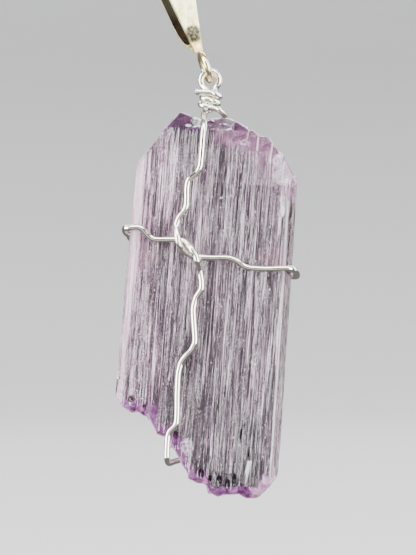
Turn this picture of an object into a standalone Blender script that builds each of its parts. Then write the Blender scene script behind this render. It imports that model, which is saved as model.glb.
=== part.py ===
"""A flat kunzite crystal tied in one silver wire like a parcel, hung by the wire's loop on a folded silver bail.

The origin is the underside of the bail's fold, where a chain bears. +Z is up, the crystal's broad face looks
along -Y, and +X is to the right. All sizes are in metres.
"""

import math
import random

import bmesh
import bpy
from mathutils import Matrix, Vector

# The crystal, in its own frame: u across, v from front to back, w up along its long axis, zero at its middle.
CRYSTAL_MIDDLE = (0.00485, 0.0, -0.04274)
CRYSTAL_TILT = math.radians(4.6)
WIDTH_MIDDLE = 0.0207
WIDTH_GROWTH = 0.033  # the width gained for each length travelled downwards
THICKNESS_MIDDLE = 0.0072
THICKNESS_GROWTH = 0.02  # the thickness gained for each length travelled to the right
PRISM_HALF_LENGTH = 0.0260
SECTIONS = 14
LEFT_BEVEL = (0.0013, 0.0005)  # how far the shallow left bevel runs across and back
RIGHT_BEVEL = (0.0005, 0.0005)
FRONT_RIDGES = 56
BACK_RIDGES = 44
SIDE_RIDGES = 6
GROOVE_DEPTH = 0.00030
TERRACE_DEPTH = 0.00022
TERRACES = 9
SEED = 29

# The wire and the clearance that neighbouring pieces keep.
WIRE = 0.00076
GAP = 0.0003
CLEAR = WIRE / 2 + GAP
LOOP_RADIUS = 0.00115  # to the wire's centre line
NECK_MIDDLE = (-0.00179, 0.0248)  # across and up
NECK_LEAN = 0.145  # how far the neck runs to the right for each length upwards
LEG = Vector((0.00018, 0.00040))  # from the neck's middle to the back leg: across and back
WRAP_REACH = 0.0009
WRAP_PITCH = 0.00089
WRAP_START = 0.0246
WRAP_STEPS = range(2, 28)  # twelve to a turn
WRAP_DROP = 0.00006  # how far each turn hangs lower on its right
LONGEST_STRETCH = 0.0020
SHARPEST_TURN = math.radians(20)

# The bail is one tapered strip folded over, in its own frame: p across, q from front to back, s down from the fold.
BAIL_LEAN = math.radians(16.6)
BAIL_YAW = math.radians(21)
STRIP = 0.0005
FOLD_RADIUS = 0.0017  # to the strip's middle
STRIP_WIDTH = 0.0052
STRIP_TAPER = 0.327
TIP_WIDTH = 0.00115
FRONT_TIP = 0.0116
EDGE_ROUND = 0.0001

# The ring soldered under the bail's tips, and the point where the wire's loop hangs on it.
RING_RADIUS = 0.00175
RING_LEAN = math.radians(20.5)
RING_YAW = math.radians(13)
HANG = Vector((0.00525, 0.0, -0.01445))

# Growth tips of the crystal, one row for each upright column that ends in a roof of four facets:
# left side, right side, tip across, tip height, fall to the left and right in degrees,
# depth of the roof's crest, fall to the front and back in degrees.
UPPER_TIPS = (
    (-0.0115, -0.0036, -0.00524, 0.02399, 56.5, 18, -0.0012, 45, 47),
    (-0.0038, -0.0022, -0.00375, 0.02351, 62, 13, 0.0003, 25, 45),
    (-0.0026, 0.0016, 0.00067, 0.02370, 9, 15, 0.0003, 26, 45),
    (0.0014, 0.0036, 0.00189, 0.02337, 40, 29, -0.0003, 45, 50),
    (0.0034, 0.0050, 0.00419, 0.02237, 10, 40, -0.0008, 45, 38),
    (0.0048, 0.0068, 0.00595, 0.02173, 1, 41, -0.0010, 45, 45),
    (0.0066, 0.0084, 0.00668, 0.02112, 40, 48, -0.0013, 45, 42),
    (0.0080, 0.0115, 0.00799, 0.01968, 42, 58, -0.0006, 48, 47),
)
LOWER_TIPS = (
    (-0.0115, -0.0093, -0.00954, -0.01381, 58, 40, -0.0020, 42, 30),
    (-0.0098, -0.0074, -0.00819, -0.01465, 32, 23, -0.0024, 45, 24),
    (-0.0076, -0.0059, -0.00671, -0.01496, 36, 25, -0.0017, 44, 28),
    (-0.0064, -0.0040, -0.00476, -0.01702, 61, 40, -0.0022, 47, 33),
    (-0.0048, -0.0029, -0.00325, -0.01741, 14, 50, -0.0026, 45, 30),
    (-0.0036, 0.0003, -0.00005, -0.02244, 58, 30, -0.0016, 43, 36),
    (-0.0004, 0.0016, 0.00100, -0.02287, 22, 11, -0.0024, 45, 27),
    (0.0015, 0.0030, 0.00263, -0.02393, 51, 30, -0.0014, 45, 34),
    (0.0024, 0.0042, 0.00352, -0.02437, 26, 31, -0.0021, 46, 29),
    (0.0040, 0.0061, 0.00470, -0.02398, 5, 10, -0.0026, 43, 25),
    (0.0059, 0.0075, 0.00709, -0.02426, 29, 3, -0.0018, 45, 33),
    (0.0072, 0.0088, 0.00812, -0.02419, 2, 28, -0.0023, 44, 28),
    (0.0083, 0.0115, 0.00868, -0.02396, 20, 54, -0.0019, 46, 35),
)

# Hollows etched into the broad faces: side, place across and up, half width, half length.
ETCH_HOLLOWS = (
    (-1, 0.0009, -0.0215, 0.00050, 0.0011),
    (-1, 0.0028, -0.0219, 0.00042, 0.0009),
    (-1, 0.0049, -0.0221, 0.00055, 0.0010),
    (-1, 0.0078, -0.0216, 0.00035, 0.0013),
    (-1, -0.0053, -0.0147, 0.00040, 0.0010),
    (-1, -0.0086, -0.0126, 0.00045, 0.0008),
    (-1, -0.0002, 0.0206, 0.00040, 0.0009),
    (-1, 0.0052, 0.0184, 0.00035, 0.0011),
    (1, 0.0030, -0.0196, 0.00050, 0.0013),
    (1, -0.0060, 0.0120, 0.00040, 0.0018),
    (1, 0.0064, 0.0105, 0.00045, 0.0014),
)
ETCH_DEPTH = 0.0006


def collection(name):
    made = bpy.data.collections.new(name)
    bpy.context.scene.collection.children.link(made)
    return made


def material(name, colour, roughness, metallic):
    made = bpy.data.materials.new(name)
    made.use_nodes = True
    shader = made.node_tree.nodes["Principled BSDF"]
    shader.inputs["Base Color"].default_value = (*colour, 1.0)
    shader.inputs["Roughness"].default_value = roughness
    shader.inputs["Metallic"].default_value = metallic
    return made


def placed(name, data, home, finish=None):
    made = bpy.data.objects.new(name, data)
    home.objects.link(made)
    if finish:
        data.materials.append(finish)
    return made


def applied(piece):
    """Gives the piece the mesh that its modifiers make, and removes them."""
    graph = bpy.context.evaluated_depsgraph_get()
    mesh = bpy.data.meshes.new_from_object(piece.evaluated_get(graph))
    piece.modifiers.clear()
    piece.data = mesh


def boolean(piece, tool, operation):
    step = piece.modifiers.new(operation.lower(), "BOOLEAN")
    step.operation = operation
    step.object = tool
    step.solver = "EXACT"
    return step


def smooth(points, steps=24):
    """Dense points on one smooth curve through the given ones, which need not be evenly spaced."""
    points = [Vector(point) for point in points]
    points = [2 * points[0] - points[1], *points, 2 * points[-1] - points[-2]]
    dense = []
    for before, start, end, after in zip(points, points[1:], points[2:], points[3:]):
        lead, span, trail = (math.sqrt((b - a).length) for a, b in ((before, start), (start, end), (end, after)))
        leave = ((start - before) / lead * span + (end - start) / span * lead) / (lead + span) * span
        arrive = ((end - start) / span * trail + (after - end) / trail * span) / (span + trail) * span
        for step in range(steps):
            t = step / steps
            dense.append(
                start * (2 * t**3 - 3 * t**2 + 1)
                + leave * (t**3 - 2 * t**2 + t)
                + end * (3 * t**2 - 2 * t**3)
                + arrive * (t**3 - t**2)
            )
    dense.append(points[-2])
    return dense


def thinned(dense, longest, sharpest):
    """Keeps the points that a tube needs: close together in the bends and far apart on straight stretches."""
    kept = [dense[0]]
    length = 0.0
    turned = 0.0
    for before, here, after in zip(dense, dense[1:], dense[2:]):
        length += (here - before).length
        turned += (here - before).angle(after - here)
        if length >= longest or turned >= sharpest:
            kept.append(here)
            length = 0.0
            turned = 0.0
    return [*kept, dense[-1]]


def half_width(w):
    return (WIDTH_MIDDLE - WIDTH_GROWTH * w) / 2


def half_thickness(u):
    return (THICKNESS_MIDDLE + THICKNESS_GROWTH * u) / 2


def face_columns(dice, count):
    """Upright lines across a broad face: place from -1 to 1, groove depth, and its strength at each section."""
    terrace = [dice.uniform(0, TERRACE_DEPTH) for _ in range(TERRACES + 1)]
    columns = []
    for number in range(count):
        place = -1 + 2 * (number + dice.uniform(-0.28, 0.28)) / (count - 1)
        place = min(1.0, max(-1.0, place)) if 0 < number < count - 1 else math.copysign(1.0, place)
        step = terrace[int((place + 1) / 2 * TERRACES)]
        depth = dice.random() ** 1.6 * GROOVE_DEPTH * (number % 2)
        strength = [dice.uniform(0.25, 1.0) for _ in range(SECTIONS)]
        columns.append((place, [step + depth * amount for amount in strength]))
    return columns


def outline(section, front, back, sides):
    """The crystal's cross-section, counter-clockwise from the front's left corner as seen from above."""
    w = PRISM_HALF_LENGTH * (2 * section / (SECTIONS - 1) - 1)
    wide = half_width(w)
    left_run, left_back = LEFT_BEVEL
    right_run, right_back = RIGHT_BEVEL
    points = [(-wide, -half_thickness(-wide) + left_back)]
    for place, depths in front:
        u = -wide + left_run + (place + 1) / 2 * (2 * wide - left_run - right_run)
        points.append((u, -half_thickness(u) + depths[section]))
    points.append((wide, -half_thickness(wide) + right_back))
    for place, depths in sides:
        points.append((wide - depths[section], place * (half_thickness(wide) - right_back)))
    points.append((wide, half_thickness(wide) - right_back))
    for place, depths in reversed(back):
        u = -wide + right_run + (place + 1) / 2 * (2 * wide - right_run - left_run)
        points.append((u, half_thickness(u) - depths[section]))
    points.append((-wide, half_thickness(-wide) - left_back))
    for place, depths in reversed(sides):
        points.append((-wide + depths[section], place * (half_thickness(-wide) - left_back)))
    return [Vector((u, v, w)) for u, v in points]


def striated_prism(dice):
    """A long prism lofted through cross-sections whose grooves deepen and fade along the crystal."""
    front = face_columns(dice, FRONT_RIDGES)
    back = face_columns(dice, BACK_RIDGES)
    sides = face_columns(dice, SIDE_RIDGES)[1:-1]
    form = bmesh.new()
    rings = []
    for section in range(SECTIONS):
        rings.append([form.verts.new(point) for point in outline(section, front, back, sides)])
    for lower, upper in zip(rings, rings[1:]):
        for number in range(len(lower)):
            last = number - 1
            form.faces.new((lower[last], lower[number], upper[number], upper[last]))
    form.faces.new(reversed(rings[0]))
    form.faces.new(rings[-1])
    bmesh.ops.triangulate(form, faces=form.faces[:])
    return mesh_of(form, "striated_prism")


def mesh_of(form, name):
    mesh = bpy.data.meshes.new(name)
    form.to_mesh(mesh)
    form.free()
    return mesh


def growth_column(row, number):
    """One column of the crystal with its roof: a box trimmed by four sloping planes through its tip."""
    left, right, tip, height, fall_left, fall_right, crest, fall_front, fall_back = row
    up = math.copysign(1, height)
    foot = -up * 0.002 * (1 + 0.07 * number)
    form = bmesh.new()
    bmesh.ops.create_cube(form, size=1.0)
    size = Vector((right - left, 0.012, abs(height - foot)))
    middle = Vector(((left + right) / 2, 0, (height + foot) / 2))
    bmesh.ops.transform(form, matrix=Matrix.Translation(middle) @ Matrix.Diagonal(size).to_4x4(), verts=form.verts)
    peak = Vector((tip, crest, height))
    slopes = (
        (Vector((-1, 0, 0)), fall_left),
        (Vector((1, 0, 0)), fall_right),
        (Vector((0, -1, 0)), fall_front),
        (Vector((0, 1, 0)), fall_back),
    )
    for outward, fall in slopes:
        angle = math.radians(fall)
        normal = outward * math.sin(angle) + Vector((0, 0, up)) * math.cos(angle)
        geometry = form.verts[:] + form.edges[:] + form.faces[:]
        cut = bmesh.ops.bisect_plane(form, geom=geometry, plane_co=peak, plane_no=normal, clear_outer=True)
        rim = [part for part in cut["geom_cut"] if isinstance(part, bmesh.types.BMEdge)]
        bmesh.ops.contextual_create(form, geom=rim)
    bmesh.ops.recalc_face_normals(form, faces=form.faces[:])
    return mesh_of(form, "growth_column")


def growth_form(cutters):
    """All the growth columns joined: the stepped, faceted block that ends the crystal above and below."""
    whole = None
    for number, row in enumerate(UPPER_TIPS + LOWER_TIPS):
        column = placed("growth_column", growth_column(row, number), cutters)
        if whole is None:
            whole = column
            continue
        boolean(whole, column, "UNION")
        applied(whole)
        bpy.data.objects.remove(column)
    whole.name = "growth_form"
    whole.hide_render = True
    whole.display_type = "WIRE"
    return whole


def etch_hollows(cutters):
    """Long lens-shaped cutters that sink into the broad faces where the crystal was etched."""
    form = bmesh.new()
    for side, u, w, half_across, half_along in ETCH_HOLLOWS:
        lens = bmesh.ops.create_icosphere(form, subdivisions=1, radius=1.0)
        place = Matrix.Translation((u, side * half_thickness(u), w))
        stretch = Matrix.Diagonal((half_across, ETCH_DEPTH, half_along, 1.0))
        bmesh.ops.transform(form, matrix=place @ stretch, verts=lens["verts"])
    hollows = placed("etch_hollows", mesh_of(form, "etch_hollows"), cutters)
    hollows.hide_render = True
    hollows.display_type = "WIRE"
    return hollows


def make_crystal(home, cutters):
    kunzite = material("kunzite", (0.66, 0.50, 0.74), 0.25, 0.0)
    crystal = placed("kunzite_crystal", striated_prism(random.Random(SEED)), home, kunzite)
    tools = [growth_form(cutters), etch_hollows(cutters)]
    boolean(crystal, tools[0], "INTERSECT")
    boolean(crystal, tools[1], "DIFFERENCE")
    return [crystal, *tools]


def on_face(side, places):
    """Points of the wire on a broad face, each given as (u, w, lift above its usual height)."""
    return [(u, side * (half_thickness(u) + CLEAR + lift), w) for u, w, lift in places]


def round_edge(side, run):
    """The wire's turn round an upright edge, from a start height to an end height and from front to back."""
    start, end, forward = run
    edge = half_width((start + end) / 2) + CLEAR
    face = half_thickness(side * edge) + CLEAR
    corner = 0.0008
    turn = (
        (edge - corner, face, start),
        (edge - 0.2 * corner, face - 0.5 * corner, start + 0.05 * (end - start)),
        (edge, face - 2 * corner, start + 0.3 * (end - start)),
        (edge, 2 * corner - face, start + 0.7 * (end - start)),
        (edge - 0.2 * corner, 0.5 * corner - face, start + 0.95 * (end - start)),
        (edge - corner, -face, end),
    )
    return [(side * u, forward * v, w) for u, v, w in turn]


def neck_middle(w):
    return NECK_MIDDLE[0] + NECK_LEAN * (w - NECK_MIDDLE[1])


def leg(side, w):
    """A point of one of the neck's two legs: side is 1 for the back one and -1 for the front one."""
    return (neck_middle(w) + side * LEG.x, side * LEG.y, w)


def loop_and_neck(centre):
    """The wire's stub end, its way up through the neck, round the loop and down again."""
    u, w = centre
    rising = [leg(1, height) for height in (0.0241, 0.0250, 0.0254, 0.0261)]
    rising.append((u + 0.00055, 0.0003, w - 0.0015))
    arc = [math.radians(degrees) for degrees in range(-38, 220, 32)]
    over = [(u + LOOP_RADIUS * math.cos(a), 0, w + LOOP_RADIUS * math.sin(a)) for a in arc]
    falling = [(u - 0.00035, -0.00035, w - 0.0013)]
    falling += [leg(-1, height) for height in (0.0261, 0.0254, 0.0250, 0.0246)]
    return rising + over + falling


def neck_wraps():
    """Turns round the two legs, passing in front from right to left and rising, with a straight cut end."""
    turns = []
    for step in WRAP_STEPS:
        angle = step * math.pi / 6
        height = WRAP_START + WRAP_PITCH * angle / math.tau - WRAP_DROP * math.cos(angle)
        outward = Vector((math.cos(angle), -math.sin(angle)))
        shift = LEG * min(1.0, max(-1.0, 1.8 * outward.dot(LEG.normalized())))
        place = WRAP_REACH * outward + shift
        turns.append((neck_middle(height) + place.x, place.y, height))
    return turns + [(-0.0031, -0.00145, 0.02655), (-0.0035, -0.00145, 0.02655)]


def wire_route(centre):
    """The one wire's whole way, from the stub under the neck to the cut end of the top wrap."""
    down_front = [
        (-0.0021, -0.0005, 0.0242),
        (-0.0022, -0.0008, 0.02395),
        (-0.00215, -0.0013, 0.02375),
        (-0.0021, -0.0018, 0.0235),
        (-0.0020, -0.0026, 0.0232),
        (-0.0019, -0.0036, 0.0227),
        (-0.0018, -0.0042, 0.0218),
    ]
    upper_front = [
        (-0.0018, 0.0205, 0),
        (-0.0018, 0.0180, 0),
        (-0.00185, 0.0172, 0),
        (-0.0020, 0.01665, 0),
        (-0.00225, 0.01625, 0),
        (-0.00295, 0.0156, 0),
        (-0.0032, 0.0152, 0),
        (-0.0033, 0.0143, 0),
        (-0.0032, 0.0128, 0),
        (-0.0032, 0.0121, 0),
        (-0.00335, 0.0115, 0),
        (-0.00395, 0.0106, 0),
        (-0.00415, 0.01005, 0),
        (-0.00425, 0.0094, 0.0001),
        (-0.00415, 0.0088, 0.0005),
        (-0.0040, 0.0083, 0.0008),
        (-0.00385, 0.00785, 0.0009),
        (-0.0038, 0.0075, 0.0009),
        (-0.0036, 0.00705, 0.0008),
        (-0.0033, 0.00665, 0.0005),
        (-0.0029, 0.0063, 0.0002),
        (-0.00245, 0.0060, 0),
        (-0.0015, 0.00575, 0),
        (0.0003, 0.00575, 0),
        (0.0027, 0.0059, 0),
        (0.00335, 0.00575, 0),
        (0.00395, 0.0055, 0),
        (0.00455, 0.0051, 0),
        (0.0052, 0.0049, 0),
        (0.00735, 0.0049, 0),
        (0.0092, 0.0051, 0),
    ]
    back_across = [
        (0.0085, 0.0041, 0),
        (0.0060, 0.0045, 0),
        (0.0030, 0.0055, 0),
        (0.0005, 0.0057, 0),
        (-0.0030, 0.0066, 0),
        (-0.0060, 0.0072, 0),
        (-0.0088, 0.0072, 0),
    ]
    lower_front = [
        (-0.0093, 0.00885, 0),
        (-0.0087, 0.00875, 0),
        (-0.0083, 0.00845, 0),
        (-0.0075, 0.00775, 0),
        (-0.0071, 0.00755, 0),
        (-0.0065, 0.0075, 0),
        (-0.0047, 0.00765, 0),
        (-0.00355, 0.00765, 0),
        (-0.0030, 0.0075, 0.0001),
        (-0.0025, 0.00715, 0.0004),
        (-0.0021, 0.00675, 0.0008),
        (-0.0018, 0.00635, 0.0009),
        (-0.0015, 0.0060, 0.0009),
        (-0.00135, 0.00565, 0.0009),
        (-0.0012, 0.00525, 0.0009),
        (-0.00105, 0.0048, 0.0006),
        (-0.00085, 0.0042, 0.0002),
        (-0.0005, 0.00265, 0),
        (-0.00045, 0.00185, 0),
        (-0.0006, 0.00145, 0),
        (-0.0010, 0.0007, 0),
        (-0.00125, -0.00045, 0),
        (-0.00125, -0.0011, 0),
        (-0.00095, -0.0032, 0),
        (-0.00075, -0.00495, 0),
        (-0.0009, -0.0055, 0),
        (-0.0011, -0.0060, 0),
        (-0.00175, -0.0068, 0),
        (-0.0023, -0.00775, 0),
        (-0.0024, -0.0083, 0),
        (-0.0025, -0.0090, 0),
        (-0.00245, -0.0114, 0),
        (-0.00225, -0.01495, 0),
        (-0.00235, -0.0156, 0),
        (-0.00305, -0.01655, 0),
        (-0.0032, -0.01715, 0),
        (-0.0032, -0.01805, 0),
        (-0.00315, -0.0192, 0),
    ]
    under_the_end = [
        (-0.0031, -0.0042, -0.0199),
        (-0.0030, -0.0036, -0.0204),
        (-0.00285, -0.0024, -0.02055),
        (-0.00265, -0.0008, -0.02045),
        (-0.0023, 0.0010, -0.02035),
        (-0.00205, 0.0028, -0.0202),
        (-0.0019, 0.0040, -0.0195),
    ]
    back_up = [
        (-0.0014, -0.0175, 0),
        (-0.0008, -0.0130, 0),
        (-0.0010, -0.0080, 0),
        (-0.0004, -0.0030, 0),
        (0.0001, 0.0020, 0.0001),
        (0.0002, 0.0045, 0.0008),
        (0.0003, 0.0057, 0.0010),
        (0.0003, 0.0070, 0.0008),
        (0.0001, 0.0100, 0.0001),
        (-0.0001, 0.0140, 0),
        (0.0003, 0.0180, 0),
    ]
    over_the_top = [
        (0.0004, 0.0043, 0.0202),
        (0.0005, 0.0038, 0.0216),
        (0.0005, 0.0030, 0.0228),
        (0.0003, 0.0020, 0.0237),
        (0.0001, 0.0009, 0.02415),
        (-0.0002, -0.0001, 0.0244),
        (-0.0006, -0.0009, 0.0246),
    ]
    return (
        loop_and_neck(centre)
        + down_front
        + on_face(-1, upper_front)
        + round_edge(1, (0.0052, 0.0042, -1))
        + on_face(1, back_across)
        + round_edge(-1, (0.0073, 0.0087, 1))
        + on_face(-1, lower_front)
        + under_the_end
        + on_face(1, back_up)
        + over_the_top
        + neck_wraps()
    )


def tube(name, points, diameter, home, finish):
    curve = bpy.data.curves.new(name, "CURVE")
    curve.dimensions = "3D"
    curve.bevel_depth = diameter / 2
    curve.bevel_resolution = 2
    curve.use_fill_caps = True
    line = curve.splines.new("POLY")
    line.points.add(len(points) - 1)
    for spot, point in zip(line.points, points):
        spot.co = (*point, 1.0)
    return placed(name, curve, home, finish)


def make_wire(home, silver, to_crystal):
    loop = to_crystal @ HANG
    points = thinned(smooth(wire_route((loop.x, loop.z))), LONGEST_STRETCH, SHARPEST_TURN)
    return tube("wire_wrap", points, WIRE, home, silver)


def strip_profile():
    """The bail's middle line as seen from its side, from the front tip over the fold to the curled back tip."""
    radius = FOLD_RADIUS
    below_fold = radius - STRIP / 2
    front = [(-radius - 0.00005, -FRONT_TIP), (-radius - 0.00008, -0.0090), (-radius, -0.0050)]
    arc = [math.radians(degrees) for degrees in range(180, -1, -30)]
    fold = [(radius * math.cos(a), radius * math.sin(a) - below_fold) for a in arc]
    back = [
        (radius + 0.0001, -0.0050),
        (radius + 0.0001, -0.0078),
        (0.00155, -0.0090),
        (0.0010, -0.0099),
        (0.00025, -0.0106),
        (-0.0003, -0.0109),
        (-0.00105, -0.0111),
    ]
    return thinned(smooth([(q, s, 0) for q, s in front + fold + back]), 0.0006, math.radians(12))


def make_bail(home, cutters, silver):
    """A flat tapered strip, folded along its profile and given its thickness, with the solder that closes it."""
    profile = strip_profile()
    travelled = [0.0]
    for before, here in zip(profile, profile[1:]):
        travelled.append(travelled[-1] + (here - before).length)
    top = max(range(len(profile)), key=lambda number: profile[number].y)
    form = bmesh.new()
    bmesh.ops.create_grid(form, x_segments=2, y_segments=len(profile) - 1, size=1.0)
    for vert in form.verts:
        row = round((vert.co.y + 1) / 2 * (len(profile) - 1))
        half = max(STRIP_WIDTH - STRIP_TAPER * abs(travelled[row] - travelled[top]), TIP_WIDTH) / 2
        vert.co = Vector((vert.co.x * half, profile[row].x, profile[row].y))
    bmesh.ops.recalc_face_normals(form, faces=form.faces[:])
    bail = placed("bail", mesh_of(form, "bail"), home, silver)
    wall = bail.modifiers.new("thickness", "SOLIDIFY")
    wall.thickness = STRIP
    wall.offset = 0.0
    wall.use_even_offset = True
    rim = bail.modifiers.new("rounded_rim", "BEVEL")
    rim.width = EDGE_ROUND
    rim.segments = 1
    rim.limit_method = "ANGLE"
    rim.angle_limit = math.radians(50)
    bead = bmesh.new()
    bmesh.ops.create_icosphere(bead, subdivisions=2, radius=1.0)
    shape = Matrix.Diagonal((0.00042, 0.00050, 0.00034, 1.0))
    bmesh.ops.transform(bead, matrix=Matrix.Translation((0, -0.0013, -0.0109)) @ shape, verts=bead.verts)
    solder = placed("solder_bead", mesh_of(bead, "solder_bead"), cutters)
    solder.hide_render = True
    solder.display_type = "WIRE"
    boolean(bail, solder, "UNION")
    turn = Matrix.Rotation(-BAIL_LEAN, 4, "Y") @ Matrix.Rotation(BAIL_YAW, 4, "Z")
    bail.rotation_euler = turn.to_euler()
    solder.rotation_euler = turn.to_euler()
    return bail


def make_ring(home, silver):
    bpy.ops.mesh.primitive_torus_add(
        major_radius=RING_RADIUS,
        minor_radius=WIRE / 2,
        major_segments=36,
        minor_segments=10,
    )
    ring = bpy.context.object
    ring.name = "bail_ring"
    for other in ring.users_collection:
        other.objects.unlink(ring)
    home.objects.link(ring)
    ring.data.materials.append(silver)
    stand = Matrix.Rotation(math.radians(90), 4, "Y")
    turn = Matrix.Rotation(-RING_LEAN, 4, "Y") @ Matrix.Rotation(RING_YAW, 4, "Z")
    down = Vector((math.sin(RING_LEAN), 0, -math.cos(RING_LEAN)))
    ring.rotation_euler = (turn @ stand).to_euler()
    ring.location = HANG - RING_RADIUS * down
    return ring


def main():
    for old in list(bpy.data.objects):
        bpy.data.objects.remove(old)
    home = collection("kunzite_pendant")
    cutters = collection("cutters")
    silver = material("silver", (0.83, 0.82, 0.79), 0.28, 1.0)
    worn_silver = material("worn_silver", (0.78, 0.75, 0.68), 0.45, 1.0)
    swing = placed("swing_centre", None, home)
    swing.location = HANG
    crystal_frame = Matrix.Translation(CRYSTAL_MIDDLE) @ Matrix.Rotation(CRYSTAL_TILT, 4, "Y")
    hanging = make_crystal(home, cutters)
    hanging.append(make_wire(home, silver, crystal_frame.inverted()))
    for piece in hanging:
        piece.parent = swing
        piece.location = Vector(CRYSTAL_MIDDLE) - HANG
        piece.rotation_euler = (0, CRYSTAL_TILT, 0)
    make_bail(home, cutters, worn_silver)
    make_ring(home, worn_silver)


main()
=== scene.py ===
# %% [markdown]
# # A kunzite crystal tied in one silver wire
# This lesson dresses a finished model of a pendant: a flat, rough kunzite crystal tied like a parcel in one
# length of silver wire, hung on a small ring under a folded silver bail. The construction is already made and
# packed, so its sizes and places are fixed. The lesson makes the fine surfaces: the striated crystal with its
# clear violet ends, the hand-bent wire, and the worn silver of the bail.

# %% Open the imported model
import math

import bmesh
import bpy
import numpy as np
from mathutils import Matrix, Vector


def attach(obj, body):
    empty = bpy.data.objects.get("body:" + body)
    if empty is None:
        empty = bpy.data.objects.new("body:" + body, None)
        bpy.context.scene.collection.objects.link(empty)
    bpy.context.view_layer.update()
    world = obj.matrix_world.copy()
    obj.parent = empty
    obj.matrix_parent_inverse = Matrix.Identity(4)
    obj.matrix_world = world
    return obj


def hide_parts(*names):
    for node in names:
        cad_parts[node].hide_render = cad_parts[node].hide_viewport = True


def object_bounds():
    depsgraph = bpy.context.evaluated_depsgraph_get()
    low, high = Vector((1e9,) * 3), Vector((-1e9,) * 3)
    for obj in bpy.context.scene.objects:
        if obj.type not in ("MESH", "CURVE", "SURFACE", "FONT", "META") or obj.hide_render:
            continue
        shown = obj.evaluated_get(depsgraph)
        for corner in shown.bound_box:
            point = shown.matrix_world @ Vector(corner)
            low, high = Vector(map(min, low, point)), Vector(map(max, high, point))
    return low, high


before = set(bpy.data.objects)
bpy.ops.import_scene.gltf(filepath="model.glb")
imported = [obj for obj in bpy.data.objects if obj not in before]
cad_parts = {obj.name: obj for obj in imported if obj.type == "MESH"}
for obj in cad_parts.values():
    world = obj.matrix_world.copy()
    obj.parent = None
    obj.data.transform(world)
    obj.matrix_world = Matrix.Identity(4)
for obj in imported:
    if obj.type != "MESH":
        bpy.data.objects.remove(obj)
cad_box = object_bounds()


def in_mm(lengths):
    """Metres as rounded millimetres, for the printed notes."""
    return [round(1000 * length, 2) for length in lengths]


print("The packed model measures", in_mm(high - low for low, high in zip(*cad_box)), "mm")

# %% [markdown]
# ## Sizes
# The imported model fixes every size, but a script that makes finer surfaces has to know the rules they follow.
# So the driving sizes of the crystal, the wire and the bail are written here again, in metres. +Z is up, the
# crystal's broad face looks along -Y, and the origin is the underside of the bail's fold.

# %% Sizes of the crystal
MILLIMETRE = 0.001
CRYSTAL_MIDDLE = (0.00485, 0.0, -0.04274)
CRYSTAL_TILT = math.radians(4.6)
WIDTH_MIDDLE = 0.0207
WIDTH_GROWTH = 0.033  # gained for each length travelled downwards
THICKNESS_MIDDLE = 0.0072
THICKNESS_GROWTH = 0.02  # gained for each length travelled to the right
PRISM_HALF_LENGTH = 0.0260
LEFT_BEVEL = (0.0013, 0.0005)  # how far the shallow left bevel runs across and back
RIGHT_BEVEL = (0.0005, 0.0005)
crystal_frame = Matrix.Translation(CRYSTAL_MIDDLE) @ Matrix.Rotation(CRYSTAL_TILT, 4, "Y")

# %% Sizes of the wire, the ring and the bail
WIRE = 0.00076
GAP = 0.0003  # between the wire and the crystal
CLEAR = WIRE / 2 + GAP  # from the crystal to the wire's middle
LOOP_RADIUS = 0.00115
NECK_MIDDLE = (-0.00179, 0.0248)  # across and up
NECK_LEAN = 0.145  # how far the neck runs to the right for each length upwards
LEG = Vector((0.00018, 0.00040))  # from the neck's middle to the back leg: across and back
WRAP_REACH = 0.0009  # from a leg's middle to the middle of the turns round it
WRAP_PITCH = 0.00089  # how far each turn rises
WRAP_START = 0.0246
WRAP_POINTS = 12  # to each turn
WRAP_STEPS = range(2, 28)
WRAP_HOLD = 1.8  # how sharply a turn goes over from one leg to the other
WRAP_DROP = 0.00006  # how far each turn hangs lower on its right
RING_RADIUS = 0.00175
RING_LEAN = math.radians(20.5)
RING_YAW = math.radians(13)
HANG = Vector((0.00525, 0.0, -0.01445))  # the middle of the wire's loop
BAIL_LEAN = math.radians(16.6)
BAIL_YAW = math.radians(21)
STRIP = 0.0005  # the strip's thickness
FOLD_RADIUS = 0.0017  # to the middle of the strip
STRIP_WIDTH = 0.0052  # at the fold
STRIP_TAPER = 0.327  # width lost for each length travelled away from the fold
TIP_WIDTH = 0.00115
FRONT_TIP = 0.0116  # how far the front tip hangs below the fold
bail_turn = Matrix.Rotation(-BAIL_LEAN, 4, "Y") @ Matrix.Rotation(BAIL_YAW, 4, "Z")
print("The wire's loop hangs at", in_mm(HANG), "mm")

# %% [markdown]
# ## Node trees written as arithmetic
# Materials and Geometry Nodes are both node trees. Linking nodes by hand is long to write and hard to read,
# so a small class wraps one output of a node, and + - * and / between such fields add the Math nodes. One
# method makes every other kind of node from its type, its settings and the values or links of its sockets.
# Sums and products don't care for the order of their two sides, and only 1 - mask needs a method of its own.

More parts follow.
